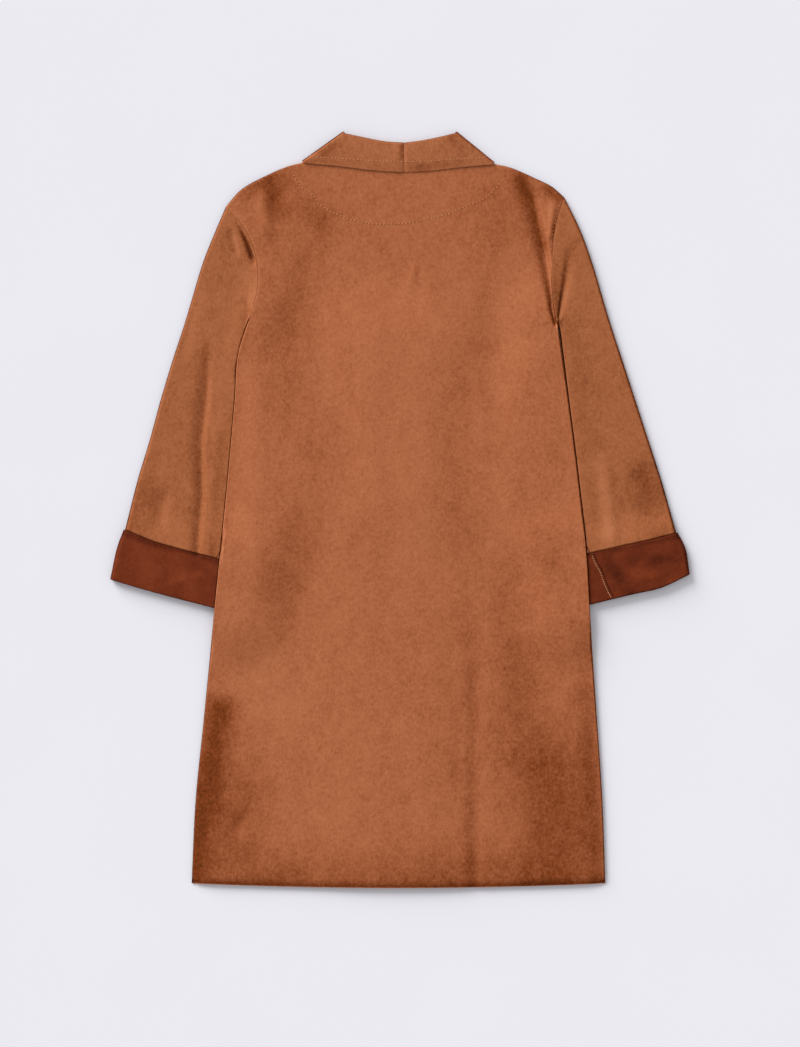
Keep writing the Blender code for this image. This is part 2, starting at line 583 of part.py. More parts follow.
class Coat:
    """The body's plan, and the height of each layer over what lies under it."""

    def __init__(self):
        self.collars = {side: Collar(side) for side in ("left", "right")}
        self.shoulders = {side: shoulder_curve(side, self.collars[side]) for side in self.collars}
        self.edges = {side: side_edge(side, GAP / 2) for side in self.collars}
        share = np.linspace(UNDERARM, 1.0, CURVE_SAMPLES)
        self.side_lines = {side: self.edges[side](share) for side in self.edges}
        run = np.linspace(0.0, 1.0, 2 * CURVE_SAMPLES)
        self.shoulder_lines = {side: self.shoulders[side](run) for side in self.shoulders}
        self.outline = np.concatenate((self.edges["left"](run), self.edges["right"](run[::-1])))
        self.make_covers()

    def make_covers(self):
        self.sleeves = {}
        self.sleeve_covers, self.cuff_covers, self.lapel_covers = {}, {}, {}
        for side in ("left", "right"):
            self.sleeves[side] = Sleeve(side, self)
            self.sleeve_covers[side] = Cover(self.sleeves[side].outline(), 14.0, 40.0)
            self.cuff_covers[side] = Cover(self.sleeves[side].cuff_outline(), 16.0, 40.0)
            self.lapel_covers[side] = Cover(self.collars[side].lapel_outline(), 8.0, 45.0)
        far = HEM_CORNER_X
        self.right_front_cover = Cover(
            [(-LAP, HEM_Y - far), (-LAP, BREAK_Y), (60.0, 420.0), (far, 420.0), (far, HEM_Y - far)],
            10.0, 50.0)
        self.placket_cover = Cover(
            [(-LAP, HEM_Y - far), (-LAP, 200.0), (LAP, 200.0), (LAP, HEM_Y - far)], 4.0, 60.0)
        self.crossing_cover = Cover([(-LAP, 20.0), (-LAP, 200.0), (LAP, 200.0), (LAP, 20.0)], 4.0, 60.0)
        first, last = button_centres()[0][1], button_centres()[-1][1]
        self.button_cover = Cover([(-BUTTON_RADIUS, last), (-BUTTON_RADIUS, first),
                                   (BUTTON_RADIUS, first), (BUTTON_RADIUS, last)], 25.0, 80.0)

    def over_sleeves(self, points, sleeve_lift, cuff_lift, ramp):
        lift = np.zeros(points.shape[:-1])
        for side in self.sleeves:
            lift += sleeve_lift * self.sleeve_covers[side].wider(ramp)(points)
            lift += cuff_lift * self.cuff_covers[side].wider(ramp)(points)
        return lift

    def back_height(self, points, folds=True):
        lift = self.over_sleeves(points, BACK_SLEEVE_LIFT, BACK_CUFF_LIFT, 60.0)
        lift += PLACKET_LIFT * self.placket_cover(points) + CROSSING_LIFT * self.crossing_cover(points)
        return BODY_TOP + lift + (fold_relief("back", points) if folds else 0.0)

    def right_front_lift(self, points):
        """Lift of the right front by its own lapel and by the buttons."""
        return np.maximum(TURN * self.lapel_covers["right"](points),
                          BUTTON_LIFT * self.button_cover(points))

    def left_lapel_height(self, points):
        lap = self.right_front_cover(points)
        return FLOOR + lap * (LAP_LIFT + self.right_front_lift(points))

    def front_height(self, points, side):
        lift = self.over_sleeves(points, SLEEVE_LIFT, CUFF_LIFT, 40.0)
        if side == "right":
            return FLOOR + lift + self.right_front_lift(points)
        return lift + self.left_lapel_height(points) + TURN * self.lapel_covers["left"](points)

    def roll_edges(self, points, side, inset, share, upper):
        """Turn a panel's shoulder and side edges towards the panel on its other side."""
        top, bottom = self.back_height(points, folds=False), self.front_height(points, side)
        radius = (top - bottom - EDGE_GAP) / 2
        shoulder_inset = distance(points, self.shoulder_lines[side])
        shoulder = rolled_drop(shoulder_inset, radius)
        below = (share - UNDERARM) * self.side_length()
        seam = rolled_drop(inset, radius, ease(below / 14.0))
        drop = np.maximum(shoulder, seam)
        return -drop if upper else drop

    def side_length(self):
        return np.abs(SIDE["left"][-1].y - ARMHOLE["left"][0].y)

    def back_neck(self):
        """The back's neck edge, in the steps of the collar's stand."""
        seam_left = self.collars["left"].back_seam()
        seam_right = self.collars["right"].back_seam()[::-1]
        centre = (seam_left[-1:] + seam_right[:1]) / 2
        seam = Line(np.concatenate((seam_left[:-1], centre, seam_right[1:]))).shifted(-NECK_GAP)
        shares = np.concatenate(((0.0, 0.004), seam.shares[1:-1], (0.996, 1.0)))
        seam.points[0], seam.points[-1] = seam(0.01), seam(0.99)
        return Line(np.vstack((self.neck_end("left"), seam.points, self.neck_end("right"))), shares)

    def front_neck(self, side):
        """A front's neck edge, in the steps of the collar's stand."""
        collar = self.collars[side]
        seam = Line(collar.front_seam()).shifted(collar.sign * GAP)
        shares = np.concatenate(((0.0, EDGE_INSETS[-1] / self.side_length() / NECK_END), seam.shares[1:]))
        return Line(np.vstack((self.neck_end(side), seam.points)), shares)

    def neck_end(self, side):
        return self.shoulders[side](np.ones(1))[0]

    def back_surface(self):
        neck = self.back_neck()
        shoulder_left, shoulder_right = self.shoulders["left"], self.shoulders["right"]
        top = joined((NECK_LEFT, shoulder_left), (NECK_RIGHT, neck),
                     (1.0, lambda share: shoulder_right(1.0 - share)))
        corner_left, corner_right = self.edges["left"](np.ones(1))[0], self.edges["right"](np.ones(1))[0]

        def hem(share):
            x = blend(corner_left[0], corner_right[0], share)
            return np.stack((x, hem_height(x)), axis=-1)

        plan = patch(top, hem, self.edges["left"], self.edges["right"])
        width = corner_right[0] - corner_left[0]
        columns = np.concatenate((side_columns(width, NECK_LEFT),
                                  blend(NECK_LEFT, NECK_RIGHT, neck.shares[1:-1]),
                                  1.0 - side_columns(width, 1.0 - NECK_RIGHT)[::-1]))
        u, v = np.meshgrid(columns, panel_rows(self.side_length()))
        points = plan(u, v)
        height = self.back_height(points)
        for side, share in (("left", u), ("right", 1.0 - u)):
            here = share <= 0.5
            height[here] += self.roll_edges(points[here], side, share[here] * width, v[here], True)
        return np.dstack((points, height))

    def front_surface(self, side):
        neck = self.front_neck(side)
        lap_x = self.collars[side].break_point[0]
        closing = Curve([tuple(neck(1.0)), (lap_x, BREAK_Y - 25.0), (lap_x, hem_height(lap_x) + 1.0)])
        inner = joined((NECK_END, neck), (1.0, closing))
        corner = self.edges[side](np.ones(1))[0]

        def hem(share):
            x = blend(corner[0], lap_x, share)
            return np.stack((x, hem_height(x) + ease(share / 0.1)), axis=-1)

        plan = patch(self.shoulders[side], hem, self.edges[side], inner)
        width = abs(corner[0] - lap_x)
        u, v = np.meshgrid(side_columns(width, 1.0), panel_rows(self.side_length()))
        points = plan(u, v)
        height = self.front_height(points, side)
        height += self.roll_edges(points, side, u * width, v, False)
        return np.dstack((points, height))

    def collar_surface(self, side):
        """The left lapel is raised where it lies on the right front."""
        surface = self.collars[side].surface()
        if side == "left":
            front = surface[-Collar.FRONT_STATIONS:]
            front[..., 2] += self.left_lapel_height(front[..., :2]) - FLOOR
        return surface


def button_centres():
    return [(0.0, BREAK_Y - BUTTON_DROP - BUTTON_SPACING * index) for index in range(BUTTON_COUNT)]


def linear(hex_colour):
    """Turn an sRGB hex colour into linear values."""
    levels = [int(hex_colour[index:index + 2], 16) / 255.0 for index in (0, 2, 4)]
    return [level / 12.92 if level <= 0.04045 else ((level + 0.055) / 1.055) ** 2.4 for level in levels]


def make_material(name, hex_colour, roughness):
    material = bpy.data.materials.new(name)
    material.use_nodes = True
    shader = material.node_tree.nodes["Principled BSDF"]
    shader.inputs["Base Color"].default_value = (*linear(hex_colour), 1.0)
    shader.inputs["Roughness"].default_value = roughness
    shader.inputs["Metallic"].default_value = 0.0
    return material


def make_sheet(name, surface, closed, material, collection):
    """A grid laid over the surface's points, closed round where it is a tube, given its wall."""
    rows, columns = surface.shape[:2]
    if closed:
        surface = np.concatenate((surface, surface[:, :1]), axis=1)
        columns += 1
    mesh = bpy.data.meshes.new(name)
    shape = bmesh.new()
    bmesh.ops.create_grid(shape, x_segments=columns - 1, y_segments=rows - 1, size=0.5)
    for vertex in shape.verts:
        column = round((vertex.co.x + 0.5) * (columns - 1))
        row = round((0.5 - vertex.co.y) * (rows - 1))
        vertex.co = surface[row, column] * MM
    if closed:
        bmesh.ops.remove_doubles(shape, verts=shape.verts, dist=1e-7)
    shape.to_mesh(mesh)
    shape.free()
    sheet = bpy.data.objects.new(name, mesh)
    collection.objects.link(sheet)
    mesh.materials.append(material)
    wall = sheet.modifiers.new("wall", "SOLIDIFY")
    wall.thickness = WALL * MM
    wall.offset = 0.0
    wall.use_even_offset = False
    wall.use_quality_normals = True
    return sheet


def make_cylinder(name, radius, depth, segments, collection):
    mesh = bpy.data.meshes.new(name)
    shape = bmesh.new()
    bmesh.ops.create_cone(shape, cap_ends=True, segments=segments, radius1=radius * MM,
                          radius2=radius * MM, depth=depth * MM)
    shape.to_mesh(mesh)
    shape.free()
    cylinder = bpy.data.objects.new(name, mesh)
    collection.objects.link(cylinder)
    return cylinder


def make_button_cutter(collection):
    """The well in a button's face and its four holes, as one cutter."""
    well = make_cylinder("button_well", BUTTON_WELL_RADIUS, 2.0 * BUTTON_WELL_DEPTH, 24, collection)
    holes = []
    for corner in range(4):
        angle = math.radians(45.0 + 90.0 * corner)
        hole = make_cylinder(f"button_hole_{corner + 1}", BUTTON_HOLE_RADIUS,
                             4.0 * BUTTON_THICKNESS, 8, collection)
        hole.location = (BUTTON_HOLE_OFFSET * MM * math.cos(angle),
                         BUTTON_HOLE_OFFSET * MM * math.sin(angle), 0.0)
        holes.append(hole)
    for cutter in [well] + holes:
        cutter.hide_render = True
        cutter.display_type = "WIRE"
    return [well] + holes


def make_buttons(material, collection, cutters):
    """Flat four-hole buttons that lie face down under the fronts."""
    parts = make_button_cutter(cutters)
    anchor = bpy.data.objects.new("button_row", None)
    collection.objects.link(anchor)
    for index, (x, y) in enumerate(button_centres()):
        name = f"button_{index + 1}"
        button = make_cylinder(name, BUTTON_RADIUS, BUTTON_THICKNESS, 28, collection)
        button.parent = anchor
        button.location = (x * MM, y * MM, BUTTON_THICKNESS / 2 * MM)
        button.data.materials.append(material)
        bevel = button.modifiers.new("edge", "BEVEL")
        bevel.width = BUTTON_BEVEL * MM
        bevel.segments = 2
        bevel.limit_method = "ANGLE"
        for part in parts:
            cutter = part.copy()
            cutter.name = f"{name}_{part.name}"
            cutters.objects.link(cutter)
            cutter.parent = button
            cutter.location = (part.location.x, part.location.y,
                               -BUTTON_THICKNESS / 2 * MM if part is parts[0] else 0.0)
            cut = button.modifiers.new(part.name, "BOOLEAN")
            cut.operation = "DIFFERENCE"
            cut.object = cutter
    for part in parts:
        bpy.data.objects.remove(part)


def main():
    for item in list(bpy.data.objects):
        bpy.data.objects.remove(item)
    coat_pieces = bpy.data.collections.new("coat")
    cutters = bpy.data.collections.new("cutters")
    bpy.context.scene.collection.children.link(coat_pieces)
    bpy.context.scene.collection.children.link(cutters)
    suede = make_material("suede", "AE6743", 0.85)
    sleeve_suede = make_material("suede_sleeve", "A55F3C", 0.85)
    collar_suede = make_material("suede_collar", "A4613F", 0.85)
    reverse = make_material("reverse", "77391F", 0.6)
    button_resin = make_material("button_resin", "4A2614", 0.35)
    coat = Coat()
    make_sheet("back", coat.back_surface(), False, suede, coat_pieces)
    for side in ("left", "right"):
        sleeve = coat.sleeves[side]
        make_sheet("front_" + side, coat.front_surface(side), False, suede, coat_pieces)
        make_sheet("collar_" + side, coat.collar_surface(side), False, collar_suede, coat_pieces)
        make_sheet(sleeve.name, sleeve.surface(), True, sleeve_suede, coat_pieces)
        make_sheet("cuff_" + side, Cuff(sleeve).surface(), True, reverse, coat_pieces)
    make_buttons(button_resin, coat_pieces, cutters)


main()
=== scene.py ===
"""Dresses a single-breasted coat that lies flat on its front, with its back up.

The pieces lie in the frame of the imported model: +X to the wearer's right, +Y to the collar and
+Z up. Lengths are in millimetres until they become vertices, when MM turns them into metres.
"""

import logging
import math
from dataclasses import dataclass, field
from enum import Enum
from typing import Callable

import bpy
import numpy as np
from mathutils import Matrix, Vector


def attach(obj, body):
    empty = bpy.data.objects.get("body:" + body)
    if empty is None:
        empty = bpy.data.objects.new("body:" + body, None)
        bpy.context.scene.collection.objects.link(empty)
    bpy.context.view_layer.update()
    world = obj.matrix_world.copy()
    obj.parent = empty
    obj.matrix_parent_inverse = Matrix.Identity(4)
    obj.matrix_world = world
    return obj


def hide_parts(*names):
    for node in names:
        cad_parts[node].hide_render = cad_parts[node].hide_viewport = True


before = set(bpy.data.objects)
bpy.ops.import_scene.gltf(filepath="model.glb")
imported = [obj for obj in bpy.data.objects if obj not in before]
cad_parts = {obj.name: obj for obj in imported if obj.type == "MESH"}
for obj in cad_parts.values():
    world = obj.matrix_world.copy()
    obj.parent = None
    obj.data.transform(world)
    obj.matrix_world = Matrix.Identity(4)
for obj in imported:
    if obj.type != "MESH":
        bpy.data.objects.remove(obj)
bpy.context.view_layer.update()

LOG = logging.getLogger("coat")
MM = 0.001
ROOT = "root"

Points = np.ndarray
Edge = Callable[[np.ndarray], np.ndarray]
PlanLine = tuple[tuple[float, float], ...]
Piece = bpy.types.Object
Material = bpy.types.Material
Node = bpy.types.Node
Socket = bpy.types.NodeSocket
Tree = bpy.types.NodeTree


class Side(Enum):
    """A side of the coat as it lies, named by where its sleeve points in X."""

    LEFT = "left"
    RIGHT = "right"

    @property
    def sign(self) -> float:
        """-1 on the left and 1 on the right."""
        return -1.0 if self is Side.LEFT else 1.0


class Facing(Enum):
    """Which way the face of a cloth looks where it is tested."""

    UP = 1.0
    DOWN = -1.0


# ------------ sizes that the layers share

WALL = 1.1                 # bonded suedette, as it shows at its cut edges
TURN = 1.9                 # from one layer's middle to the next round a turned edge
EDGE_GAP = 1.0             # between two folded edges that meet at a seam
FLOOR = 0.65               # middle of a layer that lies on the surface
BODY_TOP = 5.1             # middle of the back where only air lies under it
FALL_TOP = BODY_TOP + TURN
FLAT_TUBE = 1.8            # between a sleeve's two layers, pressed flat
LAP = 20.0                 # each front's edge past the centre front
BREAK_Y = 60.0             # where the lapels start to turn back
HEM_Y = -470.9
HEM_BOW = 5.6
HEM_CORNER_X = 257.0
UNDERARM = 0.2             # share of the side's edge where the armhole ends
COLLAR_ENTRY = 0.75        # share of the shoulder where the collar starts to cover it
NECK_LEFT = 0.29
NECK_RIGHT = 0.74
NECK_END = 0.44
STAND_BACK = 30.0
STAND_SHOULDER = 28.0
BUTTON_RADIUS = 12.5
BUTTON_YS = (38.0, -82.0, -202.0)
BODY_LENGTH = 842.0        # down a side, from the shoulder's tip to the hem


# ------------ curves and plan grids


def ease(share: np.ndarray | float) -> np.ndarray:
    """Run smoothly from 0 to 1."""
    share = np.clip(share, 0.0, 1.0)
    return share * share * (3.0 - 2.0 * share)


def blend(low: Points | float, high: Points | float, share: Points | float) -> Points:
    """Go from low to high by a share."""
    return low + (high - low) * share


class Curve:
    """A smooth plan curve through a few points, run from 0 to 1."""

    def __init__(self, points: list, along: list[float] | None = None) -> None:
        """Work out the slopes.

        Args:
            points: Plan points, in order.
            along: The distance of each, where the curve doesn't run by its own length.
        """
        self.points = np.array(points, float)
        steps = np.linalg.norm(np.diff(self.points, axis=0), axis=1) if along is None else np.diff(along)
        self.knots = np.concatenate(([0.0], np.cumsum(steps))) / np.sum(steps)
        slopes = np.diff(self.points, axis=0) / np.diff(self.knots)[:, None]
        before, after = np.diff(self.knots)[:-1, None], np.diff(self.knots)[1:, None]
        middle = (slopes[1:] * before + slopes[:-1] * after) / (before + after)
        self.slopes = np.concatenate((slopes[:1], middle, slopes[-1:]))

    def __call__(self, share: np.ndarray | float) -> Points:
        """Give the points at some shares of the curve.

        Args:
            share: Shares from 0 to 1.

        Returns:
            A plan point for each.
        """
        share = np.clip(np.asarray(share, float), 0.0, 1.0)
        index = np.clip(np.searchsorted(self.knots, share, "right") - 1, 0, len(self.knots) - 2)
        span = self.knots[index + 1] - self.knots[index]
        t = ((share - self.knots[index]) / span)[..., None]
        span = span[..., None]
        return ((1 + 2 * t) * (1 - t) ** 2 * self.points[index]
                + t * (1 - t) ** 2 * span * self.slopes[index]
                + t * t * (3 - 2 * t) * self.points[index + 1]
                + t * t * (t - 1) * span * self.slopes[index + 1])

    def shifted(self, offset: float) -> "Curve":
        """Move the curve sideways.

        Args:
            offset: Distance to the left of the curve's direction.

        Returns:
            The moved curve.
        """
        share = np.linspace(0.0, 1.0, 60)
        run = self(np.minimum(share + 1e-3, 1.0)) - self(np.maximum(share - 1e-3, 0.0))
        run /= np.linalg.norm(run, axis=1)[:, None]
        return Curve(self(share) + offset * np.stack((-run[:, 1], run[:, 0]), axis=1))


def joined(*parts: tuple[float, Edge]) -> Edge:
    """Make one edge of curves that follow each other.

    Args:
        parts: Each curve, with the share of the edge where it ends.

    Returns:
        The edge, run from 0 to 1.
    """
    def edge(share: np.ndarray) -> Points:
        """Give the points at some shares of the joined edge.

        Args:
            share: Shares from 0 to 1.

        Returns:
            A plan point for each.
        """
        share = np.asarray(share, float)
        points = np.zeros(share.shape + (2,))
        start = 0.0
        for end, curve in parts:
            here = (share >= start) & (share <= end)
            points[here] = curve((share[here] - start) / (end - start))
            start = end
        return points
    return edge


def patch(top: Edge, bottom: Edge, left: Edge, right: Edge, u: Points, v: Points) -> Points:
    """Spread a plan grid over four edges that meet at their ends.

    Args:
        top: Edge at v = 0, run by u.
        bottom: Edge at v = 1.
        left: Edge at u = 0, run by v.
        right: Edge at u = 1.
        u: Shares across.
        v: Shares down.

    Returns:
        The plan points.
    """
    a, b = u[..., None], v[..., None]
    zero, one = np.zeros(1), np.ones(1)
    corners = ((1 - a) * (1 - b) * top(zero)[0] + a * (1 - b) * top(one)[0]
               + (1 - a) * b * bottom(zero)[0] + a * b * bottom(one)[0])
    return (1 - b) * top(u) + b * bottom(u) + (1 - a) * left(v) + a * right(v) - corners


def nearest(points: Points, line: Points) -> tuple[Points, Points, Points]:
    """Find how points lie to a line of straight steps.

    Args:
        points: Plan points.
        line: The line's corners, in order.

    Returns:
        The distance from the line, the side of it (over 0 to its left) and the share along it.
    """
    start, step = line[:-1], np.diff(line, axis=0)
    lengths = np.linalg.norm(step, axis=1)
    before = np.concatenate(([0.0], np.cumsum(lengths)[:-1]))
    best = np.full(points.shape[:-1], np.inf)
    side, along = np.zeros_like(best), np.zeros_like(best)
    for index in range(len(start)):
        apart = points - start[index]
        share = np.clip((apart @ step[index]) / lengths[index] ** 2, 0.0, 1.0)
        gap = np.linalg.norm(apart - share[..., None] * step[index], axis=-1)
        cross = step[index, 0] * apart[..., 1] - step[index, 1] * apart[..., 0]
        closer = gap < best
        best = np.where(closer, gap, best)
        side = np.where(closer, cross / lengths[index], side)
        along = np.where(closer, (before[index] + share * lengths[index]) / lengths.sum(), along)
    return best, side, along


def distances(line: Points) -> Points:
    """Give the distance of each point of a line from its start."""
    return np.concatenate(([0.0], np.cumsum(np.linalg.norm(np.diff(line, axis=0), axis=1))))


def along_line(at: Points | float, run: Points, values: Points) -> Points:
    """Give the three values that belong to some distances along a line."""
    return np.stack([np.interp(at, run, values[:, axis]) for axis in range(3)], axis=-1)


def inside(points: Points, outline: Points) -> Points:
    """Tell whether each point lies inside a closed outline.

    Args:
        points: Plan points.
        outline: The outline's corners, in order.

    Returns:
        Whether each lies inside.
    """
    x, y = points[..., 0], points[..., 1]
    found = np.zeros(x.shape, bool)
    for start, end in zip(outline, np.roll(outline, -1, axis=0)):
        if start[1] == end[1]:
            continue
        crosses = (start[1] > y) != (end[1] > y)
        at_x = start[0] + (y - start[1]) * (end[0] - start[0]) / (end[1] - start[1])
        found ^= crosses & (x < at_x)
    return found


@dataclass
class Cover:
    """What lies under the cloth: 1 over it, easing to 0 past its edge."""

    outline: Points
    margin: float
    ramp: float

    def __call__(self, points: Points) -> Points:
        """Give the cover at some plan points.

        Args:
            points: Plan points.

        Returns:
            The cover at each, from 0 to 1.
        """
        outline = np.array(self.outline, float)
        closed = np.concatenate((outline, outline[:1]))
        apart = np.where(inside(points, outline), 0.0, nearest(points, closed)[0])
        return ease(1.0 - (apart - self.margin) / self.ramp)


# ------------ creases, brushed nap, and painted light and shade


@dataclass(frozen=True)
class Stroke:
    """Something that runs along a line of plan points on a piece and dies out to both sides."""

    piece: str
    line: PlanLine
    amount: float              # how deep a trough is, or how much lighter a tone patch paints the cloth
    left: tuple[float, float]  # how far it spreads to the left of its direction: start, end
    right: tuple[float, float]
    fade: tuple[float, float] = (0.3, 0.3)  # share of its length over which each end dies out, or 0

    def weight(self, points: Points) -> Points:
        """Give how strong it is at some plan points, up to its amount.

        Args:
            points: Plan points.

        Returns:
            Its strength at each.
        """
        apart, side, along = nearest(points, np.array(self.line))
        left, right = (blend(spread[0], spread[1], along) for spread in (self.left, self.right))
        strength = self.amount * np.exp(-(apart / np.where(side > 0.0, left, right)) ** 2)
        for share, fade in zip((along, 1.0 - along), self.fade):
            strength = strength * (ease(share / fade) if fade > 0.0 else 1.0)
        return strength


# Where the left sleeve's cloth sinks beside its armhole
ARMHOLE_SLOT = ((-207.0, 361.5), (-197.8, 349.5), (-190.6, 334.5), (-185.6, 321.5), (-182.4, 311.0),
                (-181.0, 301.0))
# Troughs, and ridges where the depth is under 0. Most run down, so their left is towards +X.
CREASES = (
    Stroke("back", ((144, 432), (157, 402), (166.8, 385.6), (174.3, 348.3), (182, 313.4),
                    (186.8, 283.5), (190.5, 248.7), (194.2, 231.3)), 2.7, (7, 1.4), (19, 2.4),
           (0.3, 0)),
    Stroke("back", ((193, 392), (190, 368), (186, 330)), -0.9, (5, 3), (6, 3)),
    Stroke("back", ((93.4, -60), (94.5, -180), (93, -300), (93.4, -474)), 0.8,
           (14, 9), (12, 8), (0.4, 0)),
    Stroke("back", ((74, -230), (72.5, -365)), 0.4, (9, 9), (8, 8)),
    Stroke("back", ((-191, -372), (-198, -390), (-208, -412)), 0.7, (8, 8), (9, 9)),
    Stroke("back", ((-210, -340), (-226, -362)), 0.5, (9, 9), (8, 8)),
    Stroke("back", ((-93, 362), (-112, 310), (-145, 232), (-165, 130)), 0.8,
           (34, 24), (24, 20)),
    Stroke("back", ((-158, 428), (-153, 398), (-149, 366)), 1.4, (16, 12), (12, 9),
           (0.1, 0.4)),
    Stroke("back", ((-172, 408), (-168, 372), (-164, 330)), -0.9, (9, 9), (9, 9)),
    Stroke("back", ((-140, -190), (-152, -255), (-176, -345)), 0.4, (24, 16), (20, 14)),
    Stroke("back", ((28, 210), (26, 60), (30, -60)), -0.5, (45, 45), (45, 45)),
    Stroke("back", ((150, -10), (152, -150), (160, -330)), 0.6, (30, 26), (22, 20)),
    Stroke("back", ((118, 300), (124, 180), (120, 40)), 0.5, (24, 24), (24, 24)),
    Stroke("sleeve_left", ARMHOLE_SLOT, 2.4, (1.3, 1.6), (2.4, 4.2), (0.5, 0.25)),
    Stroke("sleeve_left", ((-212, 352), (-207, 334), (-201, 312)), 1, (3.5, 3.5), (6, 6)),
    Stroke("sleeve_left", ((-193, 268), (-188.5, 250), (-190.5, 226)), 0.8, (3, 3), (7, 7)),
    Stroke("sleeve_left", ((-240.3, 220), (-240.3, 153), (-243, 120), (-247.8, 86),
                           (-246, 20), (-249, -13), (-251.5, -60)), 1.6, (5, 2.6), (12, 8),
           (0.35, 0)),
    Stroke("sleeve_left", ((-229, 140), (-227, 86), (-234, 20), (-238, -56)),
           -0.35, (9, 7), (6, 5), (0.3, 0)),
    Stroke("sleeve_left", ((-252, 300), (-262, 240), (-276, 170)), 0.7, (9, 9), (12, 12)),
    Stroke("sleeve_left", ((-292, 30), (-299, -10), (-302, -34)), 0.7, (8, 8), (12, 12)),
    Stroke("sleeve_right", ((213.5, 340), (211.7, 328.4), (208.5, 306), (205.4, 283.5), (200.6, 258.7),
                            (197.6, 240)), 1.1, (11, 3), (5, 1.4), (0.5, 0)),
    Stroke("sleeve_right", ((252, 80), (262, 0), (266, -46)), -0.9, (9, 9), (9, 9),
           (0.4, 0.1)),
    Stroke("sleeve_right", ((300, 70), (314, 12), (326, -24)), 1, (20, 20), (18, 18)),
    Stroke("cuff_left", ((-306, -62), (-272, -74), (-236, -78)), 0.7, (7, 7), (9, 9)),
    Stroke("cuff_left", ((-290, -96), (-262, -84), (-238, -88)), -0.6, (6, 6), (8, 8)),
    Stroke("cuff_right", ((264, -62), (275, -82), (284, -102)), 0.9, (9, 9), (8, 8),
           (0, 0)),
    Stroke("cuff_right", ((280, -56), (312, -70), (340, -64)), 0.7, (8, 8), (9, 9)),
    Stroke("cuff_right", ((286, -88), (318, -84), (346, -74)), -0.7, (7, 7), (8, 8)),
    Stroke("front_left", ((-180, -120), (-150, -260), (-156, -400)), -0.8, (30, 30),
           (40, 40)),
    Stroke("front_left", ((-120, 330), (-150, 200), (-140, 60)), -0.6, (26, 26),
           (30, 30)),
    Stroke("front_right", ((150, -60), (190, -180), (205, -250)), -0.8, (26, 26),
           (30, 30)),
    Stroke("front_right", ((110, 350), (130, 220), (140, 90)), -0.6, (26, 26), (30, 30)),
)


def tone_patch(piece: str, tone: float, spread: float, *line: tuple[float, float]) -> Stroke:
    """Describe a patch that makes the tone lighter, or darker where it is under 0: brushed nap in some
    places, painted light and shade in most.
    """
    return Stroke(piece, line, tone, (spread, spread), (spread, spread), (0.0, 0.0))


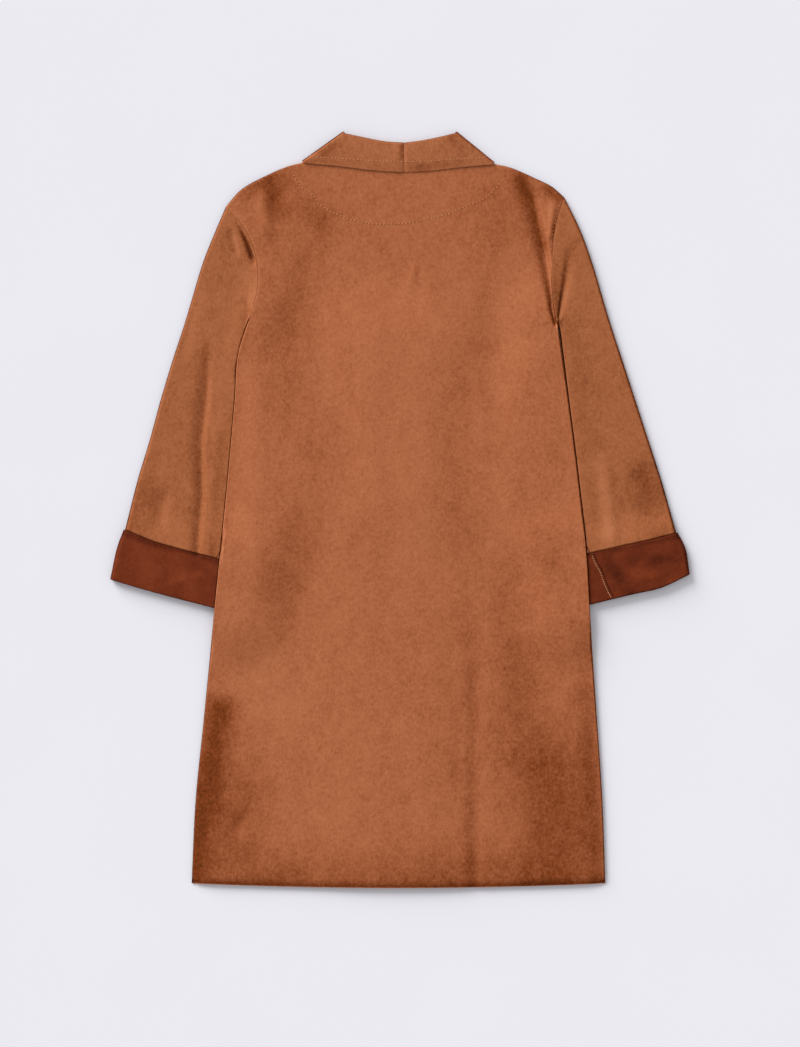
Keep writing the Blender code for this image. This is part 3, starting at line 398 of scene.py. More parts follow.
# Tone patches: brushed nap in places, and mostly painted shade along creases, in the slot by the left
# armhole, under the cuffs' upper edges, over the right cuff and along the back's lower sides and hem, with
# painted light on ridges and the back's middle.
NAP_AND_PAINTED_SHADE = (
    tone_patch("back", -0.20, 20, (-178, 405), (-150, 412), (-150, 380)),
    tone_patch("back", -0.11, 17, (-112, 378), (-98, 360)),
    tone_patch("back", -0.06, 14, (-166, 345), (-166, 290)),
    tone_patch("back", -0.05, 26, (-100, 340), (-128, 250), (-160, 130)),
    # Painted shade along the trough by the right armhole.
    Stroke("back", ((152, 412), (168, 378), (176, 342), (183, 306)), -0.24, (12, 4),
           (14, 5), (0, 0.3)),
    tone_patch("back", -0.20, 9, (186, 400), (198, 390)),
    tone_patch("back", -0.07, 30, (110, 380), (120, 340)),
    tone_patch("back", -0.32, 20, (-224, -250), (-242, -350), (-254, -450)),
    tone_patch("back", -0.12, 34, (-200, -350), (-206, -460)),
    tone_patch("back", -0.06, 16, (228, -230), (240, -350), (250, -450)),
    tone_patch("back", -0.20, 46, (190, -330), (200, -470)),
    tone_patch("back", -0.09, 40, (160, -60), (158, -180), (150, -290)),
    tone_patch("back", -0.04, 13, (93, -200), (93, -470)),
    tone_patch("back", -0.06, 10, (188, 345), (184, 322)),
    # Painted light where the back slopes down past the left cuff and lies in shade.
    tone_patch("back", 0.09, 34, (-185, -135), (-172, -195), (-160, -240)),
    tone_patch("back", -0.12, 34, (-150, -458), (150, -458)),
    tone_patch("back", 0.03, 55, (30, 230), (25, 60), (30, -60)),
    # Painted shade in the slot beside the left armhole and along the left sleeve's creases.
    Stroke("sleeve_left", ARMHOLE_SLOT, -0.30, (1.6, 2), (1.4, 2.4), (0.5, 0.25)),
    Stroke("sleeve_left", ((-192, 264), (-188.2, 249), (-190, 222)), -0.14, (2.6, 2.6),
           (5, 5), (0.4, 0.4)),
    tone_patch("sleeve_left", -0.10, 6, (-241, 205), (-241, 120), (-248, 86), (-247, 0),
            (-252, -55)),
    tone_patch("sleeve_left", -0.10, 22, (-318, 20), (-332, -20)),
    tone_patch("sleeve_left", -0.08, 12, (-228, 90), (-236, -50)),
    tone_patch("sleeve_right", -0.14, 26, (312, 40), (328, -20)),
    tone_patch("sleeve_right", -0.05, 11, (216, 330), (208, 290)),
    tone_patch("sleeve_right", 0.08, 12, (248, 60), (262, -10), (262, -42)),
    # Painted shadow under each cuff's upper edge, painted shade in the cuffs' creases and over the right
    # cuff, and painted light on their ridges.
    Stroke("cuff_right", ((236, -55.5), (262.7, -50.2), (302.5, -42.7), (345.9, -32.7)), -0.30, (4, 4),
           (2.6, 2.6), (0, 0)),
    tone_patch("cuff_right", -0.08, 60, (250, -90), (330, -70)),
    tone_patch("cuff_right", -0.22, 10, (268, -72), (277, -90), (284, -104)),
    tone_patch("cuff_right", -0.16, 13, (318, -66), (340, -62)),
    tone_patch("cuff_right", -0.16, 9, (287, -103), (322, -96)),
    tone_patch("cuff_right", 0.14, 10, (290, -78), (312, -84)),
    Stroke("cuff_left", ((-344, -29), (-303.8, -43.3), (-262.7, -52.7), (-221.5, -65.4)), -0.36,
           (5, 5), (3.4, 3.4), (0, 0)),
    tone_patch("cuff_left", 0.10, 16, (-320, -70), (-260, -92)),
    tone_patch("cuff_left", -0.12, 10, (-330, -104), (-250, -122)),
    tone_patch("collar_left", -0.05, 6, (3, 456), (0, 442)),
    tone_patch("collar_left", -0.12, 9, (-80, 456), (-96, 444)),
    tone_patch("collar_right", -0.06, 4.5, (12, 426.5), (34, 427.5)),
    tone_patch("collar_right", -0.10, 10, (66, 462), (72, 452)),
)


def crease_relief(piece: str, points: Points) -> Points:
    """Add up the creases of a piece at some plan points."""
    return -sum((crease.weight(points) for crease in CREASES if crease.piece == piece),
                np.zeros(points.shape[:-1]))


def nap_and_shade_tone(piece: str, points: Points) -> Points:
    """Add up the tone patches of a piece at some plan points: brushed nap, and painted light and shade."""
    return sum((place.weight(points) for place in NAP_AND_PAINTED_SHADE if place.piece == piece),
               np.zeros(points.shape[:-1]))


# ------------ the coat's cut as it lies


@dataclass
class SideCut:
    """The plan of one side: shoulder, armhole, side seam and sleeve, as measured."""

    side: Side
    shoulder: PlanLine
    armhole: PlanLine
    seam: PlanLine
    sleeve_along: tuple[float, ...]
    sleeve_outer: PlanLine
    sleeve_inner: PlanLine
    roll: PlanLine
    fall_edge: PlanLine
    cuff_top_bow: tuple[float, ...]     # how much lower the cuff's upper edge is, across it
    wrist_bow: tuple[float, ...]        # and its lower edge


CUTS = {
    Side.LEFT: SideCut(
        side=Side.LEFT,
        shoulder=((-216.6, 376.9), (-199.2, 396.8), (-169.3, 414.3), (-129.5, 430.0)),
        armhole=((-216.6, 376.9), (-195.5, 353.3), (-180.5, 319.7), (-176.8, 283.6), (-186.8, 238.8)),
        seam=((-186.8, 238.8), (-200.4, 196.4), (-205.4, 136.6), (-216.6, 12.1), (-230.3, -123.6),
              (-244.0, -261.8), (-254.0, -361.4), (-259.0, -465.3)),
        sleeve_along=(0.0, 31.0, 72.0, 125.0, 150.0, 203.0, 255.0, 307.0, 359.0, 411.0, 422.0, 438.0, 488.0),
        sleeve_outer=((-216.6, 376.9), (-229.1, 348.3), (-244.0, 310.9), (-259.0, 261.1), (-266.4, 236.2),
                      (-282.6, 186.4), (-297.6, 136.6), (-311.2, 86.8), (-326.2, 37.0), (-338.9, -13.3),
                      (-341.6, -24.0), (-347.6, -40.0), (-358.6, -87.0)),
        sleeve_inner=((-186.8, 238.8), (-188.6, 236.4), (-190.4, 231.0), (-191.6, 222.0), (-190.0, 208.0),
                      (-168.0, 160.0), (-147.0, 110.0), (-147.5, 52.0), (-165.0, -2.0), (-190.2, -56.5),
                      (-195.5, -68.0), (-199.0, -82.0), (-210.4, -127.3)),
        roll=((5.4, 457.1), (-18.7, 458.8), (-44.8, 463.7), (-70.3, 471.6)),
        fall_edge=((5.0, 420.5), (-31.1, 422.4), (-77.2, 428.0), (-122.0, 434.8)),
        cuff_top_bow=(1.5, 5.0, 4.5, 3.0, 2.0), wrist_bow=(0.0, 1.0, 1.0, 0.5, 0.0)),
    Side.RIGHT: SideCut(
        side=Side.RIGHT,
        shoulder=((204.2, 388.7), (189.2, 401.8), (169.3, 411.8), (125.0, 428.6)),
        armhole=((204.2, 388.7), (194.2, 354.5), (189.5, 308.5), (189.9, 267.4), (195.5, 232.5)),
        seam=((195.5, 232.5), (206.7, 152.8), (221.6, 37.0), (231.6, -56.3), (235.3, -118.6),
              (244.0, -249.3), (251.5, -361.4), (255.2, -465.3)),
        sleeve_along=(0.0, 45.0, 85.0, 137.0, 163.0, 215.0, 268.0, 320.0, 372.0, 428.0, 440.0, 453.0, 499.0),
        sleeve_outer=((204.2, 388.7), (224.1, 348.3), (237.8, 310.9), (252.7, 261.1), (260.2, 236.2),
                      (276.4, 186.4), (292.6, 136.6), (308.8, 86.8), (324.9, 37.0), (340.1, -16.5),
                      (343.4, -28.0), (350.0, -40.5), (358.8, -81.0)),
        sleeve_inner=((195.5, 232.5), (197.4, 230.4), (198.4, 225.4), (199.2, 216.0), (198.0, 202.0),
                      (177.0, 154.0), (155.0, 104.0), (154.5, 48.0), (170.5, -6.0), (197.2, -53.8),
                      (202.9, -64.0), (206.3, -77.0), (217.9, -122.5)),
        roll=((5.4, 457.1), (24.9, 459.6), (47.3, 463.8), (70.3, 471.6)),
        fall_edge=((5.0, 420.5), (39.8, 422.4), (77.2, 426.7), (117.7, 433.0)),
        cuff_top_bow=(1.5, 1.5, 0.0, -1.0, -3.0), wrist_bow=(0.0, 5.5, 3.4, 1.5, 0.0)),
}
# How far the back sinks towards its side edges, where a sleeve lies under them
UPPER_SAG = {Side.LEFT: 1.7, Side.RIGHT: 0.5}
# Along the lapel's roll line from the shoulder: share, width of the lapel, height of the stand
LAPEL = ((0.00, 63.0, 28.0), (0.15, 72.0, 22.0), (0.35, 82.0, 16.0), (0.60, 72.0, 11.0),
         (0.80, 46.0, 8.0), (0.93, 20.0, 5.0), (1.00, 6.0, 4.0))


def lit(piece: str, line: PlanLine, share: float, spread: float) -> Stroke:
    """Describe a folded edge where the painted edge shade is weaker than on the others, and by what share.
    """
    return Stroke(piece, line, share, (spread, spread), (spread, spread), (0.0, 0.0))


LIT_EDGES = (
    lit("back", CUTS[Side.LEFT].seam[:5], 0.85, 5.0),
    lit("sleeve_left", CUTS[Side.LEFT].seam[:5], 0.85, 5.0),
    lit("back", CUTS[Side.LEFT].armhole, 0.7, 3.0),
    lit("back", CUTS[Side.RIGHT].seam[:5], 0.4, 4.0),
)


def lit_edge(piece: str, points: Points) -> Points:
    """Give the share by which the painted shade on a piece's folded edges is weaker at some plan points."""
    return np.clip(sum((edge.weight(points) for edge in LIT_EDGES if edge.piece == piece),
                       np.zeros(points.shape[:-1])), 0.0, 0.9)


@dataclass
class CollarStrip:
    """Half of the shawl collar: fall, roll and stand in one strip, from the back to the break."""

    cut: SideCut
    back_steps: int = 22
    wrap_steps: int = 14
    front_steps: int = 90
    fall_points: int = 24
    stand_points: int = 10
    roll_steps: int = 8
    seam_gap: float = 0.2      # between the halves at the centre back
    seam_dip: float = 0.35     # how far both sink there
    crown: float = 0.35        # how much higher the middle of the fall lies
    droop_right: float = 0.55  # how far the fall's edge sinks onto the back
    droop_left: float = 0.2
    buckle: float = 0.5        # height of the small wave to the left of the centre back

    def __post_init__(self) -> None:
        """Place the roll line's turn over the shoulder."""
        self.sign = self.cut.side.sign
        self.name = "collar_" + self.cut.side.value
        self.peak, corner = np.array(self.cut.roll[-1]), np.array(self.cut.fall_edge[-1])
        self.wrap_width = np.linalg.norm(corner - self.peak)
        self.wrap_run = (corner - self.peak) / self.wrap_width
        self.outward = np.array((-self.wrap_run[1], self.wrap_run[0]))
        if self.outward[1] < 0.0:
            self.outward = -self.outward
        self.break_point = np.array((-self.sign * LAP, BREAK_Y))
        lowest, highest = FLOOR + TURN / 2, FALL_TOP - TURN / 2
        self.wrap_radius = (highest - lowest) / 2
        self.wrap_middle = (highest + lowest) / 2
        edge = TURN / 2 + WALL / 2
        self.axis = self.peak - (self.wrap_radius + edge) * self.outward + edge * self.wrap_run
        self.roll = Curve(list(self.cut.roll[:-1]) + [tuple(self.axis - edge * self.wrap_run)])
        fall_end = self.axis + self.wrap_run * (self.wrap_width - edge)
        self.fall_edge = Curve(list(self.cut.fall_edge[:-1]) + [tuple(fall_end)])

    def stations(self) -> list[tuple]:
        """List the sections: place, run to the edge, upward normal, width of fall and stand.

        Returns:
            The sections, from the centre back to the break.
        """
        found = []
        edge = TURN / 2 + WALL / 2
        up = np.array((0.0, 0.0, 1.0))
        for share in np.linspace(0.0, 1.0, self.back_steps) ** 1.5:
            roll, fall = self.roll(share), self.fall_edge(share)
            width = np.linalg.norm(fall - roll)
            run = (fall - roll) / width
            aside = self.sign * self.seam_gap / 2 * max(0.0, 1.0 - 30.0 * share)
            roll = roll + np.array((aside, 0.0)) + run * edge
            width -= edge
            place = np.array((roll[0], roll[1], self.wrap_middle + self.wrap_radius))
            found.append((place, run, up, width, blend(STAND_BACK, STAND_SHOULDER, share) - TURN / 2))
        width, stand = found[-1][3:5]
        for turn in np.linspace(0.0, math.pi, self.wrap_steps + 2)[1:-1]:
            normal = np.array((*(math.sin(turn) * self.outward), math.cos(turn)))
            place = np.array((*self.axis, self.wrap_middle)) + self.wrap_radius * normal
            found.append((place, self.wrap_run, normal, width, stand))
        roll_run = self.break_point - self.axis
        across = np.array((-roll_run[1], roll_run[0])) / np.linalg.norm(roll_run)
        across *= self.sign if across[0] > 0.0 else -self.sign
        table = np.array(LAPEL)
        widths = Curve([(row[0] * 100.0, row[1]) for row in LAPEL])(np.linspace(0.0, 1.0, 200))
        for share in np.linspace(0.0, 1.0, self.front_steps):
            run = blend(self.wrap_run, across, ease(share / 0.35))
            run = run / np.linalg.norm(run)
            roll = blend(self.axis, self.break_point, share)
            place = np.array((roll[0], roll[1], self.wrap_middle - self.wrap_radius))
            found.append((place, run, -up, np.interp(share * 100.0, widths[:, 0], widths[:, 1]),
                          np.interp(share, table[:, 0], table[:, 2])))
        return found

    def section(self, station: tuple) -> list[Points]:
        """Give the points across the strip at one station, from the fall's edge to the stand's.

        Args:
            station: One of the sections.

        Returns:
            The points, in order.
        """
        place, run, normal, width, stand = station
        run = np.array((run[0], run[1], 0.0))
        half = TURN / 2
        points = []
        for reach in np.linspace(width, 0.0, self.fall_points)[:-1]:
            crown = self.crown * max(0.0, normal[2]) * math.sin(math.pi * reach / width)
            points.append(place + run * reach + normal * (half + crown))
        for turn in np.linspace(math.pi / 2, -math.pi / 2, self.roll_steps + 1):
            points.append(place - run * half * math.cos(turn) + normal * half * math.sin(turn))
        points += [place + run * reach - normal * half
                   for reach in np.linspace(0.0, stand, self.stand_points + 1)[1:]]
        return points

    def grid(self) -> Points:
        """Give the strip's points, a row for each station.

        Returns:
            Rows by columns of places, in millimetres.
        """
        grid = np.array([self.section(station) for station in self.stations()])
        back = grid[:self.back_steps, :self.fall_points]
        aside = np.abs(back[..., 0] - self.roll(0.0)[0])
        back[..., 2] -= self.seam_dip * np.exp(-(aside / 1.6) ** 2)
        from_edge = np.linalg.norm(back[:, :1, :2] - back[..., :2], axis=-1)
        droop = self.droop_left
        if self.cut.side is Side.RIGHT:
            droop = self.droop_right * (1.0 - ease((aside - 60.0) / 40.0))
        back[..., 2] -= droop * np.exp(-(from_edge / 7.0) ** 2)
        if self.cut.side is Side.LEFT:
            wave = np.exp(-((aside - 7.0) / 4.0) ** 2) * ease((back[..., 1] - 425.0) / 25.0)
            back[..., 2] += self.buckle * wave
        return grid

    def back_seam(self) -> Points:
        """Give the stand's edge from the shoulder to the centre back, in plan."""
        return self.grid()[:self.back_steps, -1, :2][::-1]

    def front_seam(self) -> Points:
        """Give the stand's edge from the shoulder to the break, in plan."""
        return self.grid()[-self.front_steps:, -1, :2]

    def shoulder_end(self) -> list[Points]:
        """Say where the shoulder seam goes under the collar and where it meets the stand.

        Returns:
            The two plan points.
        """
        line = self.axis + self.outward * (self.wrap_radius - TURN / 2)
        return [line + self.wrap_run * (self.wrap_width + 1.0),
                line + self.wrap_run * (STAND_SHOULDER - TURN / 2 + 0.9)]

    def lapel_outline(self) -> Points:
        """Give the closed plan outline of the lapel.

        Returns:
            Its corners, in order.
        """
        front = self.grid()[-self.front_steps:]
        roll = front[:, self.fall_points - 1 + self.roll_steps // 2, :2]
        return np.concatenate((front[::6, 0, :2], roll[::-6]))


@dataclass
class CoatPlan:
    """The body's plan, and the height of each layer over what lies under it."""

    strips: dict[Side, CollarStrip] = field(default_factory=dict)
    over_sleeve: float = 2.9         # how far each thing under the back raises it
    over_cuff: float = 2.35
    over_placket: float = 2.0
    over_crossing: float = 1.6
    front_over_sleeve: float = 3.7   # how far each thing under a front raises it
    front_over_cuff: float = 4.2
    front_over_front: float = 1.7
    front_over_button: float = 2.9
    lower_sag: float = 1.6           # how far the back sinks towards its sides below the sleeves

    def __post_init__(self) -> None:
        """Lay out the edges and what lies under each layer."""
        self.strips = {side: CollarStrip(cut) for side, cut in CUTS.items()}
        self.shoulders = {side: self.shoulder(side) for side in CUTS}
        self.edges = {side: self.side_edge(side) for side in CUTS}
        down = np.linspace(UNDERARM, 1.0, 60)
        self.side_lines = {side: self.edges[side](down) for side in CUTS}
        run = np.linspace(0.0, 1.0, 90)
        self.shoulder_lines = {side: self.shoulders[side](run) for side in CUTS}
        self.outline = np.concatenate((self.edges[Side.LEFT](run), self.edges[Side.RIGHT](run[::-1])))
        self.make_covers()

    def shoulder(self, side: Side) -> Edge:
        """Join the shown shoulder to its straight stretch under the collar.

        Args:
            side: Which side.

        Returns:
            The edge, from the shoulder's tip.
        """
        entry, end = self.strips[side].shoulder_end()
        shown = Curve(list(CUTS[side].shoulder) + [tuple(entry)])
        return joined((COLLAR_ENTRY, shown), (1.0, Curve([entry, (entry + end) / 2, end])))

    def side_edge(self, side: Side) -> Edge:
        """Join the armhole to the side seam.

        Args:
            side: Which side.

        Returns:
            The edge, from the shoulder's tip.
        """
        armhole = Curve(list(CUTS[side].armhole)).shifted(-0.1 * side.sign)
        below = Curve([tuple(armhole(1.0))] + list(CUTS[side].seam[1:]))
        return joined((UNDERARM, armhole), (1.0, below))

    def make_covers(self) -> None:
        """Outline what lies under the back and the fronts."""
        self.sleeve_outlines, self.cuff_outlines = {}, {}
        for side, cut in CUTS.items():
            share = np.linspace(0.0, 1.0, 40)
            inner = Curve(list(cut.sleeve_inner), list(cut.sleeve_along))
            outer = Curve(list(cut.sleeve_outer), list(cut.sleeve_along))
            self.sleeve_outlines[side] = np.concatenate((inner(share), outer(share[::-1][:28])))
            ends = np.array((cut.sleeve_along[-3] / cut.sleeve_along[-1], 1.0))
            self.cuff_outlines[side] = np.concatenate((inner(ends), outer(ends[::-1])))
        far = HEM_CORNER_X
        self.right_front = Cover(np.array([(-LAP, HEM_Y - far), (-LAP, BREAK_Y), (60.0, 420.0),
                                           (far, 420.0), (far, HEM_Y - far)]), 10.0, 50.0)
        self.placket = np.array([(-LAP, HEM_Y - far), (-LAP, 200.0), (LAP, 200.0), (LAP, HEM_Y - far)])
        self.crossing = np.array([(-LAP, 20.0), (-LAP, 190.0), (LAP, 190.0), (LAP, 20.0)])
        radius = BUTTON_RADIUS
        self.button_row = Cover(np.array([(-radius, BUTTON_YS[2]), (-radius, BUTTON_YS[0]),
                                          (radius, BUTTON_YS[0]), (radius, BUTTON_YS[2])]), 25.0, 80.0)
        self.right_lapel = Cover(self.strips[Side.RIGHT].lapel_outline(), 8.0, 45.0)
        self.left_lapel = Cover(self.strips[Side.LEFT].lapel_outline(), 8.0, 45.0)

    def back_height(self, points: Points, creases: bool = True) -> Points:
        """Give the middle height of the back.

        Args:
            points: Plan points.
            creases: Whether its creases are in it.

        Returns:
            The height at each.
        """
        lift = np.zeros(points.shape[:-1])
        for side in CUTS:
            lift += self.over_sleeve * Cover(self.sleeve_outlines[side], 10.0, 80.0)(points)
            lift += self.over_cuff * Cover(self.cuff_outlines[side], 14.0, 70.0)(points)
        lift += self.over_placket * Cover(self.placket, 4.0, 110.0)(points)
        lift += self.over_crossing * Cover(self.crossing, 6.0, 105.0)(points)
        lift -= self.edge_sag(points)
        return BODY_TOP + lift + (crease_relief("back", points) if creases else 0.0)

    def edge_sag(self, points: Points) -> Points:
        """Give how far the back sinks towards its side edges.

        Args:
            points: Plan points.

        Returns:
            The sag at each.
        """
        sag = np.zeros(points.shape[:-1])
        for side in CUTS:
            apart = nearest(points, self.side_lines[side])[0]
            below_sleeve = ease((-170.0 - points[..., 1]) / 130.0)
            sag += self.lower_sag * below_sleeve * np.exp(-(apart / 16.0) ** 2)
            beside_sleeve = ease((215.0 - points[..., 1]) / 50.0) * ease((points[..., 1] + 70.0) / 30.0)
            sag += UPPER_SAG[side] * beside_sleeve * np.exp(-(apart / 24.0) ** 2)
        return sag

    def right_front_lift(self, points: Points) -> Points:
        """Give how far the right front's lapel and buttons raise it."""
        return np.maximum(TURN * self.right_lapel(points), self.front_over_button * self.button_row(points))

    def left_lapel_height(self, points: Points) -> Points:
        """Give the middle height of the left lapel, which crosses over the right front."""
        return FLOOR + self.right_front(points) * (self.front_over_front + self.right_front_lift(points))

    def front_height(self, points: Points, side: Side) -> Points:
        """Give the middle height of a front.

        Args:
            points: Plan points.
            side: Which front.

        Returns:
            The height at each.
        """
        lift = np.zeros(points.shape[:-1])
        for other in CUTS:
            lift += self.front_over_sleeve * Cover(self.sleeve_outlines[other], 14.0, 40.0)(points)
            lift += self.front_over_cuff * Cover(self.cuff_outlines[other], 16.0, 40.0)(points)
        if side is Side.RIGHT:
            return FLOOR + lift + self.right_front_lift(points)
        return lift + self.left_lapel_height(points) + TURN * self.left_lapel(points)

    def collar_grid(self, side: Side) -> Points:
        """Give a collar strip's points, the left one raised where it lies on the right front.

        Args:
            side: Which side.

        Returns:
            Rows by columns of places, in millimetres.
        """
        strip = self.strips[side]
        grid = strip.grid()
        if side is Side.LEFT:
            front = grid[-strip.front_steps:]
            front[..., 2] += self.left_lapel_height(front[..., :2]) - FLOOR
        return grid

    def folded_edge(self, points: Points, side: Side, inset: Points, down: Points) -> Points:
        """Give how far a panel's folded shoulder and side edges turn towards the other panel.

        Args:
            points: Plan points.
            side: Which side.
            inset: Their distances from the side edge.
            down: Their shares down it.

        Returns:
            The drop, or for a front the rise, at each.
        """
        apart = self.back_height(points, creases=False) - self.front_height(points, side)
        radius = (apart - EDGE_GAP) / 2
        length = abs(CUTS[Side.LEFT].seam[-1][1] - CUTS[Side.LEFT].shoulder[0][1])

        def turned(distance: Points) -> Points:
            """Give the turn's drop at a distance in from the fold."""
            short = np.clip(radius - distance, 0.0, radius)
            return radius - np.sqrt(radius * radius - short * short)

        shoulder = turned(nearest(points, self.shoulder_lines[side])[0])
        seam = turned(inset) * ease((down - UNDERARM) * length / 30.0)
        return np.maximum(shoulder, seam)


# ------------ meshes


def select_only(piece: Piece) -> None:
    """Make a piece the active one, with nothing else selected.

    Args:
        piece: The piece.
    """
    bpy.ops.object.select_all(action="DESELECT")
    piece.select_set(True)
    bpy.context.view_layer.objects.active = piece


def edit_all(edit: Callable, **options: float) -> None:
    """Run an edit on the whole mesh of the active piece.

    Args:
        edit: One of Blender's mesh operators.
        options: What it is run with.
    """
    bpy.ops.object.mode_set(mode="EDIT")
    bpy.ops.mesh.select_all(action="SELECT")
    edit(**options)
    bpy.ops.object.mode_set(mode="OBJECT")


def read_vertices(piece: Piece, name: str) -> Points:
    """Read three numbers from every vertex of a piece.

    Args:
        piece: The piece.
        name: Which of a vertex's values, "co" or "normal".

    Returns:
        A row for each vertex.
    """
    values = np.zeros(len(piece.data.vertices) * 3)
    piece.data.vertices.foreach_get(name, values)
    return values.reshape(-1, 3)


def lay_grid(name: str, points: Points, closed: bool = False) -> Piece:
    """Lay a grid primitive over points.

    Args:
        name: The piece's name.
        points: Rows by columns of places, in millimetres.
        closed: Whether the last column joins the first, as in a tube.

    Returns:
        The new object, at the origin.
    """
    if closed:
        points = np.concatenate((points, points[:, :1]), axis=1)
    rows, columns = points.shape[:2]
    bpy.ops.object.select_all(action="DESELECT")
    bpy.ops.mesh.primitive_grid_add(x_subdivisions=columns - 1, y_subdivisions=rows - 1, size=1.0)
    piece = bpy.context.active_object
    piece.name = piece.data.name = name
    flat = read_vertices(piece, "co")
    column = np.rint((flat[:, 0] + 0.5) * (columns - 1)).astype(int)
    row = np.rint((0.5 - flat[:, 1]) * (rows - 1)).astype(int)
    piece.data.vertices.foreach_set("co", (points[row, column] * MM).ravel())
    piece.data.update()
    if closed:
        edit_all(bpy.ops.mesh.remove_doubles, threshold=1e-6)
    return piece


def face_outwards(piece: Piece, near: Points, facing: Facing) -> None:
    """Turn a sheet over where its face looks the wrong way.

    Args:
        piece: The sheet.
        near: A place in millimetres; the face nearest to it is tested.
        facing: Which way that face looks on the real coat.
    """
    target = Vector(near) * MM
    face = min(piece.data.polygons, key=lambda polygon: (polygon.center - target).length)
    if face.normal.z * facing.value < 0.0:
        select_only(piece)
        edit_all(bpy.ops.mesh.flip_normals)


def set_nap_and_painted_shade(piece: Piece, node: str, painted_light_from: tuple[float, float], edges: float) -> None:
    """Keep the tone of a node's piece as the attribute that the finishes read: brushed nap, and painted
    light and shade.

    Args:
        piece: The sheet, before it has its wall.
        node: The node whose tone patches it takes.
        painted_light_from: Which way, in plan, the light comes from; a slope that faces it is painted
            lighter, and one turned away darker.
        edges: How much painted shade darkens the cloth where it turns over an edge, most where the edge
            faces the light.
    """
    normals = read_vertices(piece, "normal")
    flatness = np.abs(normals[:, 2])
    slope = normals[:, 0] * painted_light_from[0] + normals[:, 1] * painted_light_from[1]
    plan = read_vertices(piece, "co")[:, :2] / MM
    # Painted light and shade: tone patches, and slopes that face the light painted lighter, those turned
    # away darker.
    tone = nap_and_shade_tone(node, plan) + np.clip(0.8 * slope, -0.3, 0.15) * ease((flatness - 0.5) / 0.3)
    # Painted shade on folded edges and steep crease walls, weaker on the lit edges.
    tone -= edges * (1.0 - flatness) * (1.0 - lit_edge(node, plan)) * blend(0.3, 1.0, ease(0.5 + slope))
    nap_and_shade = piece.data.attributes.new("nap_and_shade", "FLOAT", "POINT")
    nap_and_shade.data.foreach_set("value", tone)


def give_wall(piece: Piece, face: Material, reverse: Material) -> None:
    """Give a sheet its cloth's thickness, with a finish on each side.

    Args:
        piece: The sheet, at the middle of its wall.
        face: Finish of its outer side and its cut edges.
        reverse: Finish of its inner side.
    """
    piece.data.materials.append(face)
    piece.data.materials.append(reverse)
    wall = piece.modifiers.new("wall", "SOLIDIFY")
    wall.thickness = WALL * MM
    wall.offset = 0.0
    wall.use_quality_normals = True
    wall.material_offset = 1
    select_only(piece)
    bpy.ops.object.modifier_apply(modifier="wall")
    bpy.ops.object.shade_smooth_by_angle(angle=math.radians(50.0))


# ------------ finishes


def linear(hex_colour: str) -> tuple[float, float, float, float]:
    """Turn an sRGB hex colour into linear values with an alpha of 1.

    Args:
        hex_colour: Its six digits.

    Returns:
        Red, green, blue and alpha.
    """
    levels = [int(hex_colour[index:index + 2], 16) / 255.0 for index in (0, 2, 4)]
    return (*(level / 12.92 if level <= 0.04045 else ((level + 0.055) / 1.055) ** 2.4
              for level in levels), 1.0)


def per_metre(size_mm: float) -> float:
    """Turn the size of a pattern's spots in millimetres into a texture's scale."""
    return 1.0 / (size_mm * MM)


def add_node(tree: Tree, kind: str, settings: dict | None = None,
             inputs: dict | None = None) -> Node:
    """Add a node to a tree.

    Args:
        tree: The material's tree.
        kind: The node's type, without the word that starts them all.
        settings: The node's own properties.
        inputs: For each input, by name or number, a value or the socket that feeds it.

    Returns:
        The node.
    """
    node = tree.nodes.new("ShaderNode" + kind)
    for name, value in (settings or {}).items():
        setattr(node, name, value)
    for name, value in (inputs or {}).items():
        if isinstance(value, Socket):
            tree.links.new(value, node.inputs[name])
        else:
            node.inputs[name].default_value = value
    return node


def new_tree(name: str) -> tuple[Material, Tree, Socket]:
    """Start a material with an empty tree, laid over the object's own coordinates.

    Args:
        name: The material's name.

    Returns:
        The material, its tree and the coordinates.
    """
    material = bpy.data.materials.new(name)
    material.use_nodes = True
    tree = material.node_tree
    tree.nodes.clear()
    return material, tree, add_node(tree, "TexCoord").outputs["Object"]


def kept_nap_and_shade(tree: Tree) -> Socket:
    """Read the tone that the sheet keeps for each of its points: brushed nap, and painted light and shade.
    """
    return add_node(tree, "Attribute", {"attribute_name": "nap_and_shade"}).outputs["Fac"]


def noise(tree: Tree, place: Socket, size_mm: float, detail: float = 3.0,
          stretch: tuple[float, float, float] = (1.0, 1.0, 1.0), turn: float = 0.0) -> Socket:
    """Add a noise of a real size.

    Args:
        tree: The material's tree.
        place: The coordinates it is laid over.
        size_mm: Size of its spots.
        detail: How many finer layers it has.
        stretch: How many times closer it lies along each axis.
        turn: Angle of that stretch, in degrees.

    Returns:
        Its value, about a half on average.
    """
    laid = add_node(tree, "Mapping", inputs={
        "Vector": place, "Rotation": (0.0, 0.0, math.radians(turn)), "Scale": stretch})
    return add_node(tree, "TexNoise", inputs={
        "Vector": laid.outputs[0], "Scale": per_metre(size_mm), "Detail": detail,
        "Roughness": 0.55}).outputs[0]


def weighed(tree: Tree, start: float,
            parts: tuple[tuple[Socket, float, float], ...]) -> Socket:
    """Add up patterns.

    Args:
        tree: The material's tree.
        start: What the sum starts from.
        parts: Each pattern, its middle value and its weight.

    Returns:
        The sum.
    """
    total: Socket | float = start
    for pattern, middle, weight in parts:
        apart = add_node(tree, "Math", {"operation": "SUBTRACT"}, {0: pattern, 1: middle})
        total = add_node(tree, "Math", {"operation": "MULTIPLY_ADD"},
                         {0: apart.outputs[0], 1: weight, 2: total}).outputs[0]
    return total


